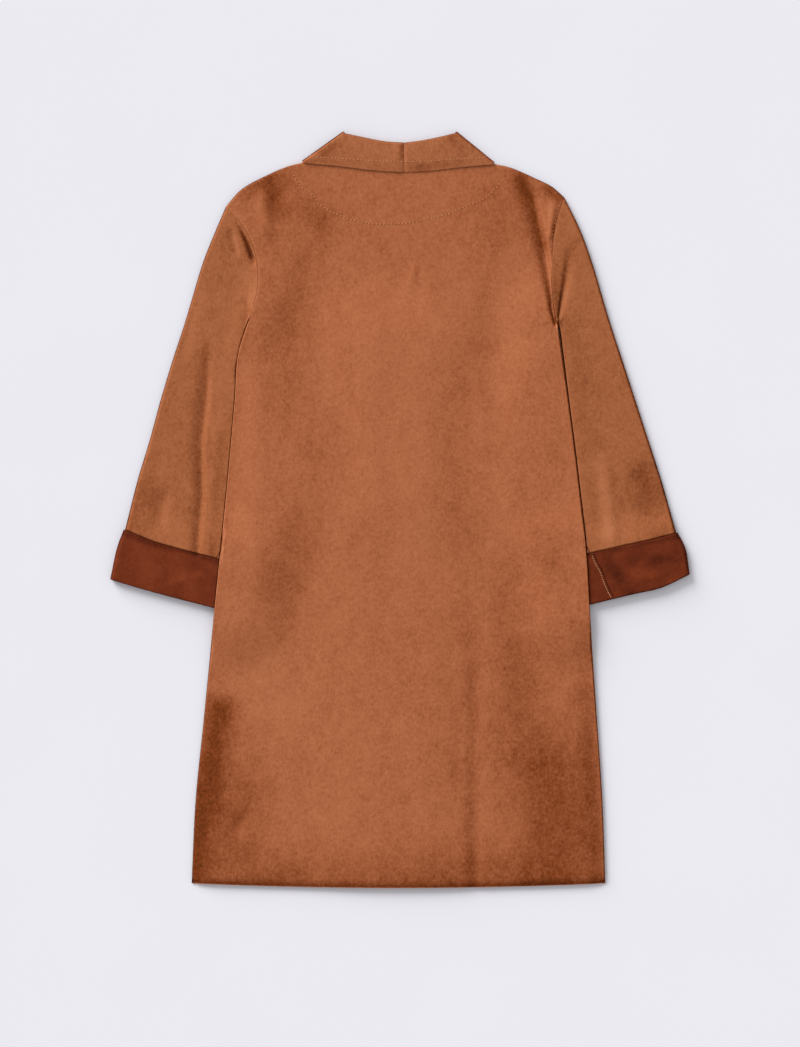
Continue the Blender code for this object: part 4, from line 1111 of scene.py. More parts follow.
def above(tree: Tree, pattern: Socket, limit: float) -> Socket:
    """Keep only what of a pattern is above a limit."""
    apart = add_node(tree, "Math", {"operation": "SUBTRACT"}, {0: pattern, 1: limit})
    return add_node(tree, "Math", {"operation": "MAXIMUM"}, {0: apart.outputs[0], 1: 0.0}).outputs[0]


def coloured(tree: Tree, tone: Socket,
             colours: tuple[str, ...]) -> Socket:
    """Run a tone from 0 to 1 through colours that are spread evenly.

    Args:
        tree: The material's tree.
        tone: The tone.
        colours: Hex colours, deepest first.

    Returns:
        The colour.
    """
    ramp = add_node(tree, "ValToRGB", inputs={"Fac": tone})
    steps = ramp.color_ramp.elements
    for index in range(len(colours) - 2):
        steps.new((index + 1) / (len(colours) - 1))
    for index, colour in enumerate(colours):
        steps[index].position = index / (len(colours) - 1)
        steps[index].color = linear(colour)
    return ramp.outputs[0]


def finished(tree: Tree, colour: Socket, roughness: float, specular: float,
             relief: Socket, depth_mm: float, sheen: float = 0.0) -> None:
    """Close a tree with its shader.

    Args:
        tree: The material's tree.
        colour: The surface's colour.
        roughness: How matt it is.
        specular: How much it shines.
        relief: The pattern of its fine relief.
        depth_mm: Depth of that relief.
        sheen: How much its fibres catch light from the side.
    """
    bump = add_node(tree, "Bump", inputs={"Height": relief, "Distance": depth_mm * MM, "Strength": 1.0})
    shader = add_node(tree, "BsdfPrincipled", inputs={
        "Base Color": colour, "Roughness": roughness, "Specular IOR Level": specular,
        "Sheen Weight": sheen, "Sheen Roughness": 0.6, "Normal": bump.outputs[0]})
    add_node(tree, "OutputMaterial", inputs={"Surface": shader.outputs[0]})


@dataclass(frozen=True)
class Suedette:
    """Bonded suedette: a short napped face that looks mottled where it was brushed by hand."""

    name: str
    colours: tuple[str, ...]   # from the deepest, reached by the painted shade of folded edges, over the common one, to the lightest
    turn: float = 16.0         # of the short strokes in the nap

    def make(self) -> Material:
        """Make the material: broad and small blotches, short strokes, and the kept tone of brushed nap and
        painted light and shade.

        Returns:
            The material.
        """
        material, tree, place = new_tree(self.name)
        broad = noise(tree, place, 50.0, 2.0, (1.3, 0.7, 1.0), self.turn * 0.3)
        blotch = noise(tree, place, 15.0, 3.0, (1.1, 0.75, 1.0), self.turn)
        small = noise(tree, place, 4.6, 3.0, (0.9, 1.1, 1.0), -self.turn)
        stroke = noise(tree, place, 2.4, 2.0, (1.2, 0.55, 1.0), self.turn * 2.0)
        fibre = noise(tree, place, 0.8, 2.0)
        mark = above(tree, noise(tree, place, 9.0, 2.0, (2.2, 0.6, 1.0), self.turn), 0.62)
        tone = weighed(tree, 0.5, ((broad, 0.5, 0.08), (blotch, 0.5, 0.18), (small, 0.5, 0.26),
                                   (stroke, 0.5, 0.26), (fibre, 0.5, 0.26), (mark, 0.0, -0.3),
                                   (kept_nap_and_shade(tree), 0.0, 1.0)))
        relief = weighed(tree, 0.5, ((fibre, 0.5, 0.6), (stroke, 0.5, 0.4), (small, 0.5, 0.5)))
        finished(tree, coloured(tree, tone, self.colours), 1.0, 0.0, relief, 0.25)
        return material


@dataclass(frozen=True)
class BondedReverse:
    """The smooth reverse of the cloth, on the turned-back cuffs and inside: even, without a nap."""

    name: str
    colours: tuple[str, ...]   # from the deepest to the lightest

    def make(self) -> Material:
        """Make the material: a fine close weave, soft blotches that paint a satin sheen, and the kept tone
        of painted light and shade.

        Returns:
            The material.
        """
        material, tree, place = new_tree(self.name)
        # Broad blotches: a painted satin sheen.
        broad = noise(tree, place, 24.0, 3.0)
        small = noise(tree, place, 5.0, 3.0)
        warp = noise(tree, place, 0.8, 2.0, (1.0, 0.2, 1.0), 14.0)
        weft = noise(tree, place, 0.8, 2.0, (0.2, 1.0, 1.0), 14.0)
        tone = weighed(tree, 0.5, ((broad, 0.5, 0.6), (small, 0.5, 0.3), (warp, 0.5, 0.3),
                                   (weft, 0.5, 0.3), (kept_nap_and_shade(tree), 0.0, 1.0)))
        relief = weighed(tree, 0.5, ((warp, 0.5, 0.5), (weft, 0.5, 0.5), (small, 0.5, 0.6)))
        finished(tree, coloured(tree, tone, self.colours), 0.75, 0.06, relief, 0.2)
        return material


@dataclass(frozen=True)
class SewingThread:
    """Spun polyester thread, with the slant of its twist."""

    name: str
    dark: str
    light: str

    def make(self) -> Material:
        """Make the material: the twist and a little wear.

        Returns:
            The material.
        """
        material, tree, place = new_tree(self.name)
        twist = noise(tree, place, 0.5, 1.0, (1.0, 0.4, 1.0), 40.0)
        wear = noise(tree, place, 9.0, 2.0)
        tone = weighed(tree, 0.5, ((twist, 0.5, 0.8), (wear, 0.5, 1.2)))
        finished(tree, coloured(tree, tone, (self.dark, self.light)), 0.9, 0.04, twist, 0.08)
        return material


@dataclass(frozen=True)
class Resin:
    """Cast button resin, with faint clouds in it and a satin face."""

    name: str
    dark: str
    light: str

    def make(self) -> Material:
        """Make the material: clouds, and a fine haze on the face.

        Returns:
            The material.
        """
        material, tree, place = new_tree(self.name)
        clouds = noise(tree, place, 6.0, 4.0, (1.0, 0.5, 1.0), 30.0)
        haze = noise(tree, place, 0.4, 2.0)
        tone = weighed(tree, 0.5, ((clouds, 0.5, 1.6), (haze, 0.5, 0.2)))
        finished(tree, coloured(tree, tone, (self.dark, self.light)), 0.35, 0.5, haze, 0.02)
        return material


@dataclass(frozen=True)
class StudioPaper:
    """The plain pale surface that the coat lies on."""

    name: str
    shade: str
    light: str

    def make(self) -> Material:
        """Make the material: almost even, with a fine tooth.

        Returns:
            The material.
        """
        material, tree, place = new_tree(self.name)
        tooth = noise(tree, place, 1.2, 2.0)
        clouds = noise(tree, place, 160.0, 1.0)
        tone = weighed(tree, 0.5, ((clouds, 0.5, 0.5), (tooth, 0.5, 0.2)))
        finished(tree, coloured(tree, tone, (self.shade, self.light)), 1.0, 0.0, tooth, 0.02)
        return material


@dataclass(frozen=True)
class Finishes:
    """Every material of the scene, made once."""

    body: Material
    sleeve: Material
    collar: Material
    reverse: Material
    inner_side: Material
    thread: Material
    hole_thread: Material
    pale_thread: Material
    seam_thread: Material
    resin: Material
    paper: Material

    @classmethod
    def make(cls) -> "Finishes":
        """Make them all.

        Returns:
            The set.
        """
        return cls(
            body=Suedette("bonded_suedette_body",
                          ("2E1206", "7C3D1D", "AB6441", "C07A53", "CE8C63")).make(),
            sleeve=Suedette("bonded_suedette_sleeve",
                            ("2B1107", "763C1F", "A4613D", "B8744F", "C8865F"), -20.0).make(),
            collar=Suedette("bonded_suedette_collar",
                            ("2B1107", "783D20", "A66340", "BC7852", "CC8B64"), 40.0).make(),
            reverse=BondedReverse("smooth_reverse_cuff", ("431608", "702F17", "8F4528")).make(),
            inner_side=BondedReverse("smooth_reverse_inside", ("5A2411", "7B3A20", "90502F")).make(),
            thread=SewingThread("spun_thread_tan", "BE7F57", "D6996F").make(),
            # Dark beads in the facing's needle holes: painted shade.
            hole_thread=SewingThread("russet_painted_needle_hole_shade", "6B3519", "8A4A28").make(),
            pale_thread=SewingThread("spun_thread_beige", "B08058", "DDB28C").make(),
            # Dark brown thread for the buttons, and the dark lines of painted shadow in the cuff's and
            # sleeves' seams.
            seam_thread=SewingThread("brown_thread_and_painted_seam_shadow", "2B1208", "4A2010").make(),
            resin=Resin("cast_resin_button", "32180C", "5E3319").make(),
            paper=StudioPaper("pale_studio_paper", "EAE9F0", "EDECF3").make())


# ------------ pieces of cloth


@dataclass
class ClothPiece:
    """One piece of the coat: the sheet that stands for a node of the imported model."""

    node: str
    face: Material
    reverse: Material
    slot: str
    flat: tuple[float, float]  # what it was cut from, in metres
    area: float                # of its cut, in square metres
    rests_on: tuple[str, ...]
    facing: Facing = Facing.UP
    closed: bool = False
    # Where the light comes from, in plan, for the painted light and shade of slopes; and how much painted
    # shade darkens the folded edges.
    painted_light_from: tuple[float, float] = (-0.9, 0.5)
    edges: float = 1.1
    piece: Piece | None = None

    def grid(self) -> Points:
        """Give the middle of its wall as rows of points."""
        raise NotImplementedError

    def tested(self, grid: Points) -> Points:
        """Give a place on the surface whose face looks the way that `facing` says."""
        return grid[grid.shape[0] // 2, grid.shape[1] // 2]

    def build(self) -> Piece:
        """Make the sheet, give it its wall and finish, and hand it to the frame.

        Returns:
            The finished sheet.
        """
        grid = self.grid()
        self.piece = lay_grid(self.node + "_cloth", grid, self.closed)
        face_outwards(self.piece, self.tested(grid), self.facing)
        set_nap_and_painted_shade(self.piece, self.node, self.painted_light_from, self.edges)
        give_wall(self.piece, self.face, self.reverse)
        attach(self.piece, ROOT)
        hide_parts(self.node)
        LOG.info("%s: %d vertices", self.piece.name, len(self.piece.data.vertices))
        return self.piece

    def declare(self, with_pieces: list[Piece]) -> None:
        """Take what is sewn on the sheet, and do nothing with it."""


def hem_bow(x: Points) -> Points:
    """Give how much higher than at its middle the hem lies."""
    return HEM_BOW * (x / HEM_CORNER_X) ** 2


def insets(width: float) -> Points:
    """Give the shares at which rows follow each other closely round a folded edge."""
    return np.array((0.0, 0.12, 0.35, 0.75, 1.25, 1.75, 2.6)) / width


def round_corners(points: Points) -> Points:
    """Round a panel's two lower corners a little, in plan.

    Args:
        points: The panel's rows of plan points.

    Returns:
        The rounded rows.
    """
    rounded = points.copy()
    for corner in (points[-1, 0], points[-1, -1]):
        near = np.exp(-(np.linalg.norm(points - corner, axis=-1) / 4.0) ** 2)
        inward = np.array((-np.sign(corner[0]) * 1.6, 1.8))
        rounded += near[..., None] * inward
    return rounded


@dataclass
class BackPiece(ClothPiece):
    """The back, cut in one from the neck to the hem."""

    plan: CoatPlan | None = None
    neck_gap: float = 0.6
    armhole_dip: float = 0.15  # how far the back sinks at its armholes
    hem_droop: float = 1.5     # how far its hem sinks
    front_apart: float = 1.5   # least height of its middle over a front's

    def neck(self) -> Edge:
        """Give the neck's edge, which lies along the collar's stand.

        Returns:
            The edge, from left to right.
        """
        left = self.plan.strips[Side.LEFT].back_seam()
        right = self.plan.strips[Side.RIGHT].back_seam()[::-1]
        seam = Curve(list(left[:-1]) + [(left[-1] + right[0]) / 2] + list(right[1:]))
        seam = seam.shifted(-self.neck_gap)
        ends = [self.plan.shoulders[side](np.ones(1))[0] for side in CUTS]
        return Curve([ends[0]] + list(seam(np.linspace(0.01, 0.99, 40))) + [ends[1]])

    def grid(self) -> Points:
        """Give the back's points: close rows at its folded shoulders, sides and hem.

        Returns:
            Rows by columns of places, in millimetres.
        """
        plan = self.plan
        shoulder_right = plan.shoulders[Side.RIGHT]
        top = joined((NECK_LEFT, plan.shoulders[Side.LEFT]), (NECK_RIGHT, self.neck()),
                     (1.0, lambda share: shoulder_right(1.0 - share)))
        left, right = (plan.edges[side](np.ones(1))[0] for side in CUTS)

        def hem(share: Points) -> Points:
            """Give the hem's edge.

            Args:
                share: Shares across, from left to right.

            Returns:
                A plan point for each.
            """
            x = blend(left[0], right[0], share)
            return np.stack((x, HEM_Y + hem_bow(x)), axis=-1)

        width, length = right[0] - left[0], BODY_LENGTH
        across = np.concatenate((insets(width), np.linspace(0.0, 0.1, 18)[2:],
                                 np.linspace(0.1, 0.87, 92)[1:], np.linspace(0.87, 1.0, 32)[1:-2],
                                 1.0 - insets(width)[::-1]))
        down = np.concatenate((insets(length), np.linspace(0.0, 0.25, 82)[2:],
                               np.linspace(0.25, 1.0, 146)[1:-1], 1.0 - insets(length)[::-1]))
        u, v = np.meshgrid(across, down)
        points = patch(top, hem, plan.edges[Side.LEFT], plan.edges[Side.RIGHT], u, v)
        height = plan.back_height(points)
        for side, share in ((Side.LEFT, u), (Side.RIGHT, 1.0 - u)):
            here = share <= 0.5
            height[here] -= plan.folded_edge(points[here], side, share[here] * width, v[here])
            armhole = ease((UNDERARM - v[here]) / 0.01)
            height[here] -= self.armhole_dip * armhole * np.exp(-(share[here] * width / 1.8) ** 2)
        height -= self.hem_droop * np.exp(-((1.0 - v) * length / 3.5) ** 2)
        under = np.where(points[..., 0] < LAP, plan.front_height(points, Side.LEFT), 0.0)
        under = np.maximum(under, np.where(points[..., 0] > -LAP,
                                           plan.front_height(points, Side.RIGHT), 0.0))
        inner = np.minimum(u, 1.0 - u) * width > 2.0
        inner &= nearest(points, np.concatenate(list(plan.shoulder_lines.values())))[0] > 3.0
        height = np.where(inner, np.maximum(height, under + self.front_apart), height)
        return np.dstack((round_corners(points), height))


@dataclass
class FrontPiece(ClothPiece):
    """A front, from the shoulder to the hem, under the back."""

    plan: CoatPlan | None = None
    side: Side = Side.LEFT
    columns: int = 52
    rows: int = 150
    neck_gap: float = 0.35

    def grid(self) -> Points:
        """Give the front's points: close rows at its folded shoulder and side.

        Returns:
            Rows by columns of places, in millimetres.
        """
        plan, strip = self.plan, self.plan.strips[self.side]
        seam = Curve(list(strip.front_seam())).shifted(self.side.sign * self.neck_gap)
        start = plan.shoulders[self.side](np.ones(1))[0]
        neck = Curve([start] + list(seam(np.linspace(0.02, 1.0, 50))))
        lap_x = strip.break_point[0]
        closing = Curve([tuple(neck(1.0)), (lap_x, BREAK_Y - 25.0), (lap_x, HEM_Y + 1.0)])
        corner = plan.edges[self.side](np.ones(1))[0]

        def hem(share: Points) -> Points:
            """Give the hem's edge, up to 1 mm above the back's.

            Args:
                share: Shares across, from the side edge.

            Returns:
                A plan point for each.
            """
            x = blend(corner[0], lap_x, share)
            return np.stack((x, HEM_Y + hem_bow(x) * (1.0 - share) + ease(share / 0.1)), axis=-1)

        width, length = abs(corner[0] - lap_x), BODY_LENGTH
        across = np.concatenate((insets(width), np.linspace(0.0, 1.0, self.columns)[1:]))
        down = np.concatenate((insets(length), np.linspace(0.0, 1.0, self.rows)[1:]))
        u, v = np.meshgrid(across, down)
        points = patch(plan.shoulders[self.side], hem, plan.edges[self.side],
                       joined((NECK_END, neck), (1.0, closing)), u, v)
        height = plan.front_height(points, self.side)
        height += plan.folded_edge(points, self.side, u * width, v)
        return np.dstack((points, height))


@dataclass
class CollarPiece(ClothPiece):
    """Half of the shawl collar."""

    strip: CollarStrip | None = None
    plan: CoatPlan | None = None

    def grid(self) -> Points:
        """Give the collar's points."""
        return self.plan.collar_grid(self.strip.cut.side)

    def tested(self, grid: Points) -> Points:
        """Give a place on the fall, at the back."""
        return grid[3, 6]


# ------------ sleeves and cuffs


@dataclass
class SleeveTube:
    """The form of a sleeve as a flattened tube, from the armhole to its end inside the cuff."""

    cut: SideCut
    plan_of_coat: CoatPlan
    clear: tuple[float, float]     # from the body's edge to where the sleeve rises: high up, lower
    rise: float                    # over what distance it rises there
    swell: float                   # how much higher it lies there than further out
    armhole_gap: float = 0.1
    armhole_reach: tuple[float, float] = (60.0, 125.0)
    armhole_dip: float = 0.12      # how far the upper layer sinks there
    least_apart: float = 1.45      # between the middles of the two layers
    cuff_puff: float = 0.6         # how much higher the upper layer lies at the cuff
    cuff_bulge: float = 2.1        # how far the sleeve rises just above its cuff
    turn_in: float = 9.0           # how far the cuff reaches back inside
    shown: int = 52            # points across the upper layer that shows
    hidden: int = 9
    lower: int = 30
    climb: int = 9

    def __post_init__(self) -> None:
        """Lay out the folds."""
        self.armhole = Curve(list(self.cut.armhole)).shifted(self.cut.side.sign * self.armhole_gap)
        along = list(self.cut.sleeve_along)
        start, underarm = self.armhole(0.0), self.armhole(1.0)
        self.outer = Curve([tuple(start)] + list(self.cut.sleeve_outer[1:]), along)
        self.inner = Curve([tuple(underarm)] + list(self.cut.sleeve_inner[1:]), along)
        self.length, self.cuff_start = along[-1], along[-3]
        down = self.outer(1.0) - self.outer(self.cuff_start / self.length)
        self.down = down / np.linalg.norm(down)

    def place(self, q: Points | float, along: Points | float) -> Points:
        """Give the plan place at a share across and a distance down the outer fold.

        Args:
            q: Shares across, from the outer fold.
            along: Distances down that fold.

        Returns:
            A plan point for each.
        """
        q, along = np.broadcast_arrays(np.asarray(q, float), np.asarray(along, float))
        share = along / self.length
        straight = blend(self.outer(share), self.inner(share), q[..., None])
        bend = self.armhole(q) - blend(self.armhole(0.0), self.armhole(1.0), q[..., None])
        across = np.linspace(0.0, 1.0, len(self.cut.wrist_bow))
        at_top = Curve(list(zip(across, self.cut.cuff_top_bow)), list(across))(q)[..., 1]
        at_wrist = Curve(list(zip(across, self.cut.wrist_bow)), list(across))(q)[..., 1]
        in_cuff = (along - self.cuff_start) / (self.length - self.cuff_start)
        bow = blend(at_top, at_wrist, np.clip(in_cuff, 0.0, 1.0)) * ease(1.0 + in_cuff)
        return (straight + bend * ease(1.0 - along / self.armhole_reach[1])[..., None]
                + self.down * bow[..., None])

    def clearance(self, points: Points) -> Points:
        """Give the distance from the body's side edge, under 0 beneath the body."""
        clear = nearest(points, self.plan_of_coat.side_lines[self.cut.side])[0]
        return np.where(inside(points, self.plan_of_coat.outline), -clear, clear)

    def climb_range(self, points: Points, in_cuff: float) -> tuple[Points, Points]:
        """Give where the upper layer starts to rise outside the body, and where it has risen.

        Args:
            points: Plan points.
            in_cuff: 1 for what ends inside the cuff, 0 for what shows.

        Returns:
            The two distances from the body's edge.
        """
        start = blend(self.clear[1], self.clear[0], ease((points[..., 1] - 120.0) / 110.0))
        start = start + 3.0 * in_cuff
        return start, start + self.rise + 5.0 * in_cuff

    def heights(self, q: Points, along: float, in_cuff: float) -> tuple[Points, Points]:
        """Give the middle heights of the upper and lower layers at one section.

        Args:
            q: Shares across, from the outer fold.
            along: Distance down the outer fold.
            in_cuff: 1 for the sleeve's own end inside the cuff, 0 for what shows.

        Returns:
            The two heights.
        """
        points = self.place(q, along)
        seam = self.armhole(q)
        reach = blend(self.armhole_reach[0], self.armhole_reach[1], q * q)
        near = ease(1.0 - along / reach)
        raised = ease(1.0 + (along - self.cuff_start) / 25.0)
        start, end = self.climb_range(points, in_cuff)
        clear = self.clearance(points)
        shows = ease((clear - start) / (end - start))
        lower = FLOOR + TURN * raised
        swell = self.swell * np.exp(-(np.maximum(clear - end, 0.0) / 22.0) ** 2) * (1.0 - raised)
        to_cuff = along - self.cuff_start
        bulge = float(ease((to_cuff + 44.0) / 42.0) * (1.0 - ease((to_cuff + 1.5) / 1.5)))
        swell += self.cuff_bulge * bulge * (1.0 - in_cuff)
        full = BODY_TOP + self.cuff_puff * raised + swell
        upper = blend(lower + FLAT_TUBE, full, shows)
        upper = blend(upper, self.plan_of_coat.back_height(seam, creases=False), near)
        name = "sleeve_" + self.cut.side.value
        held = ease((along - self.cuff_start + 4.0) / 12.0)
        relief = crease_relief(name, points) * (1.0 - held) * shows * ease(along / 2.5)
        lower = blend(lower, self.plan_of_coat.front_height(seam, self.cut.side), near)
        upper = upper + relief - self.armhole_dip * math.exp(-(along / 1.8) ** 2)
        return np.maximum(upper, lower + self.least_apart), lower

    def shares(self, along: float, flats: tuple[float, float], in_cuff: float) -> Points:
        """Give shares across the upper layer, closer together where it climbs out of the body.

        Args:
            along: Distance down the outer fold.
            flats: The shares where the two folds end.
            in_cuff: 1 for what ends inside the cuff, 0 for what shows.

        Returns:
            The shares, from the outer fold.
        """
        q = np.linspace(flats[0], flats[1], 900)
        points = self.place(q, along)
        start, end = self.climb_range(points, in_cuff)
        clear = self.clearance(points)
        edge = min(q[clear > start][-1], flats[1] - 0.05)
        risen = min(q[clear > end][-1], edge - 0.004)
        return np.concatenate((np.linspace(flats[0], risen, self.shown),
                               np.linspace(risen, edge, self.climb)[1:],
                               np.linspace(edge, flats[1], self.hidden)[1:]))

    def ring(self, along: float, grown: float = 0.0, in_cuff: float = 0.0) -> Points:
        """Give one closed section.

        Args:
            along: Distance down the outer fold.
            grown: How far outside the sleeve it lies, as a cuff does.
            in_cuff: 1 for what ends inside the cuff, 0 for what shows.

        Returns:
            The section's points, round from the outer fold.
        """
        ends = np.array((0.0, 1.0))
        upper, lower = self.heights(ends, along, in_cuff)
        radius, middle = (upper - lower) / 2, (upper + lower) / 2
        corners = self.place(ends, along)
        width = np.linalg.norm(corners[1] - corners[0])
        flats = (radius[0] / width, 1.0 - radius[1] / width)
        angles = np.linspace(math.pi / 2, -math.pi / 2, 9)[1:-1]
        q = self.shares(along, flats, in_cuff)
        top = np.column_stack((self.place(q, along), self.heights(q, along, in_cuff)[0] + grown))
        inner = self.fold(top[-1, :2], self.underarm_run(along), middle[1], radius[1] + grown, angles)
        q = np.linspace(flats[1], flats[0], self.lower)
        bottom = np.column_stack((self.place(q, along), self.heights(q, along, in_cuff)[1] - grown))
        outer = self.fold(bottom[-1, :2], corners[0] - self.place(0.2, along), middle[0],
                          radius[0] + grown, angles[::-1])
        return np.concatenate((top, inner, bottom, outer))

    def underarm_run(self, along: float) -> Points:
        """Give the way out past the underarm fold: along the armhole, then square to the fold.

        Args:
            along: Distance down the outer fold.

        Returns:
            The way, in plan.
        """
        section = self.place(1.0, along) - self.place(0.8, along)
        section = section / np.linalg.norm(section)
        step = self.inner(along / self.length + 0.002) - self.inner(along / self.length - 0.002)
        square = np.array((-step[1], step[0])) / np.linalg.norm(step)
        square = square if square @ section > 0.0 else -square
        return blend(section, square, ease(along / 60.0))

    @staticmethod
    def fold(centre: Points, run: Points, height: float, radius: float, angles: Points) -> Points:
        """Give points round a folded edge.

        Args:
            centre: The fold's centre, in plan.
            run: Which way it bulges.
            height: Height of its centre.
            radius: Its radius.
            angles: Where its points lie.

        Returns:
            The points.
        """
        run = run / np.linalg.norm(run)
        plan = centre + run * (radius * np.cos(angles))[:, None]
        return np.column_stack((plan, height + radius * np.sin(angles)))


@dataclass
class SleevePiece(ClothPiece):
    """A sleeve, from its armhole to its end inside the cuff."""

    tube: SleeveTube | None = None

    def grid(self) -> Points:
        """Give the sleeve's points, with close rows at the armhole.

        Returns:
            Rows by columns of places, in millimetres.
        """
        tube = self.tube
        rows = np.concatenate(((0.0, 0.6, 1.3, 2.2, 3.4), np.arange(5.0, 40.0, 2.0),
                               np.arange(40.0, tube.cuff_start - 6.0, 4.0)))
        end = tube.length - tube.turn_in - 0.4
        tail = np.concatenate((tube.cuff_start + np.array((-3.5, -2.2, -1.5, -1.1, -0.7, -0.35, 0.0, 0.8)),
                               np.linspace(tube.cuff_start + 2.5, end, 11)))
        slide = ease((tail - tube.cuff_start) / 20.0)
        return np.array([tube.ring(along) for along in rows]
                        + [tube.ring(along, in_cuff=held) for along, held in zip(tail, slide)])

    def tested(self, grid: Points) -> Points:
        """Give a place on the upper layer that shows."""
        return grid[30, 12]


@dataclass
class CuffPiece(ClothPiece):
    """A turned-back cuff, turned in at the wrist to meet the sleeve's end."""

    tube: SleeveTube | None = None
    edge_droop: tuple[float, ...] = (0.45, 0.3, 0.12)  # how far its first rows sink onto the sleeve
    turned_rows: float = 13.0                          # last rows, which its creases don't reach

    def grid(self) -> Points:
        """Give the cuff's points, from its upper edge to its end inside the sleeve.

        Returns:
            Rows by columns of places, in millimetres.
        """
        tube, half = self.tube, TURN / 2
        fold = tube.length - half
        path = [(along, TURN, 0.0) for along in
                tube.cuff_start + np.array((0.0, 0.6, 1.5, 3.0))]
        path += [(along, TURN, 0.0) for along in
                 np.linspace(tube.cuff_start + 5.0, fold - 1.5, 15)]
        path += [(fold + half * math.cos(turn), half + half * math.sin(turn), 0.0)
                 for turn in np.linspace(math.pi / 2, -math.pi / 2, 9)]
        path += [(along, 0.0, 1.0) for along in (tube.length - 4.5, tube.length - tube.turn_in)]
        rings = np.array([tube.ring(*step) for step in path])
        rings[:3, :tube.shown, 2] -= np.array(self.edge_droop)[:, None]
        upper = rings[:, :tube.shown]
        row = np.arange(len(path))
        run = ease(row / 3.0) * ease((len(path) - self.turned_rows - row) / 3.0)
        upper[..., 2] += (crease_relief("cuff_" + tube.cut.side.value, upper[..., :2]) * run[:, None]
                          * ease(np.arange(tube.shown) / 4.0))
        return rings

    def tested(self, grid: Points) -> Points:
        """Give a place on the upper layer that shows."""
        return grid[8, 12]


# ------------ sewing


@dataclass(frozen=True)
class Stitch:
    """How one row of stitching looks, in millimetres."""

    pitch: float
    length: float
    width: float
    height: float
    sunk: float = 0.05         # how deep its middle lies under the cloth's face

    def bead(self) -> tuple[Points, list[tuple[int, ...]]]:
        """Model one stitch.

        Returns:
            Its points and its faces.
        """
        bpy.ops.object.select_all(action="DESELECT")
        bpy.ops.mesh.primitive_uv_sphere_add(segments=6, ring_count=4, radius=0.5)
        model = bpy.context.active_object
        points = np.array([tuple(vertex.co) for vertex in model.data.vertices])
        faces = [tuple(polygon.vertices) for polygon in model.data.polygons]
        mesh = model.data
        bpy.data.objects.remove(model)
        bpy.data.meshes.remove(mesh)
        return points * np.array((self.length, self.width, self.height)), faces


@dataclass
class StitchRow:
    """A row of stitches along a line on a piece, joined into one mesh."""

    name: str
    stitch: Stitch
    thread: Material
    slot: str
    start: float = 0.5         # where the first stitch lies, in steps
    look: float = 0.6          # how far ahead and behind each stitch takes its direction from

    def sew(self, line: Points, normals: Points) -> Piece:
        """Repeat the stitch along a line.

        Args:
            line: Places on the cloth's face, in millimetres.
            normals: Which way the face looks at each.

        Returns:
            The finished row.
        """
        run = distances(line)
        at = np.arange(self.stitch.pitch * self.start, run[-1], self.stitch.pitch)
        places = along_line(at, run, line)
        up = along_line(at, run, normals)
        up /= np.linalg.norm(up, axis=1)[:, None]
        forward = along_line(at + self.look, run, line) - along_line(at - self.look, run, line)
        forward -= up * (forward * up).sum(1)[:, None]
        forward /= np.linalg.norm(forward, axis=1)[:, None]
        aside = np.cross(up, forward)
        bead, faces = self.stitch.bead()
        centres = places + up * (self.stitch.height / 2 - self.stitch.sunk)
        points = (centres[:, None] + bead[None, :, :1] * forward[:, None]
                  + bead[None, :, 1:2] * aside[:, None] + bead[None, :, 2:] * up[:, None])
        mesh = bpy.data.meshes.new(self.name)
        mesh.from_pydata((points.reshape(-1, 3) * MM).tolist(), [],
                         [tuple(corner + index * len(bead) for corner in face)
                          for index in range(len(at)) for face in faces])
        mesh.materials.append(self.thread)
        mesh.polygons.foreach_set("use_smooth", [True] * len(mesh.polygons))
        row = bpy.data.objects.new(self.name, mesh)
        bpy.context.scene.collection.objects.link(row)
        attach(row, ROOT)
        LOG.info("%s: %d stitches", self.name, len(at))
        return row

    def sew_on(self, piece: Piece, line: Points, facing: Facing) -> Piece:
        """Lay a plan line on a piece's outer face and sew along it.

        Args:
            piece: The finished piece.
            line: Plan points.
            facing: The side from which the line is laid on.

        Returns:
            The finished row.
        """
        places, normals = [], []
        for x, y in line:
            start = Vector((x, y, 40.0 * facing.value)) * MM
            hit, place, normal, _ = piece.ray_cast(start, Vector((0.0, 0.0, -facing.value)))
            if hit:
                places.append(tuple(place / MM))
                normals.append(tuple(normal))
        return self.sew(np.array(places), np.array(normals))


TOPSTITCH = Stitch(pitch=4.6, length=2.6, width=0.95, height=0.42)
COLLAR_STITCH = Stitch(pitch=4.6, length=2.6, width=0.95, height=0.45)
ARMHOLE_STITCH = Stitch(pitch=4.6, length=2.0, width=0.55, height=0.3)
# Dark beads between the facing's stitches: painted shade in the needle holes.
NEEDLE_HOLE_SHADE = Stitch(pitch=4.6, length=1.6, width=1.1, height=0.3, sunk=0.1)
CUFF_STITCH = Stitch(pitch=2.9, length=2.0, width=0.95, height=0.42)
# Dense dark beads along a seam: a painted shadow line.
CUFF_SEAM_SHADOW = Stitch(pitch=1.0, length=1.8, width=1.5, height=0.36, sunk=0.06)
SLEEVE_SEAM_SHADOW = Stitch(pitch=0.9, length=1.6, width=1.0, height=0.3, sunk=0.1)
FACING_LINE = ((-135.7, 421.8), (-120.8, 400.6), (-110.8, 393.1), (-98.4, 379.4), (-73.5, 365.7),
               (-54.8, 359.5), (-31.1, 355.8), (-8.7, 355.8), (12.5, 357.0), (33.6, 362.0),
               (59.8, 368.2), (83.4, 378.2), (104.6, 386.9), (117.0, 398.1), (127.0, 410.0))
CUFF_SEAM = ((238.6, -55.5), (242.8, -66.3), (249.0, -77.5), (254.0, -91.2), (260.2, -104.9),
             (264.0, -111.0))
SLEEVE_SEAMS = {
    Side.LEFT: ((-223.2, -50.5), (-225.6, -55.0), (-229.4, -60.5)),
    Side.RIGHT: ((230.2, -40.5), (233.0, -47.0), (236.6, -53.5)),
}


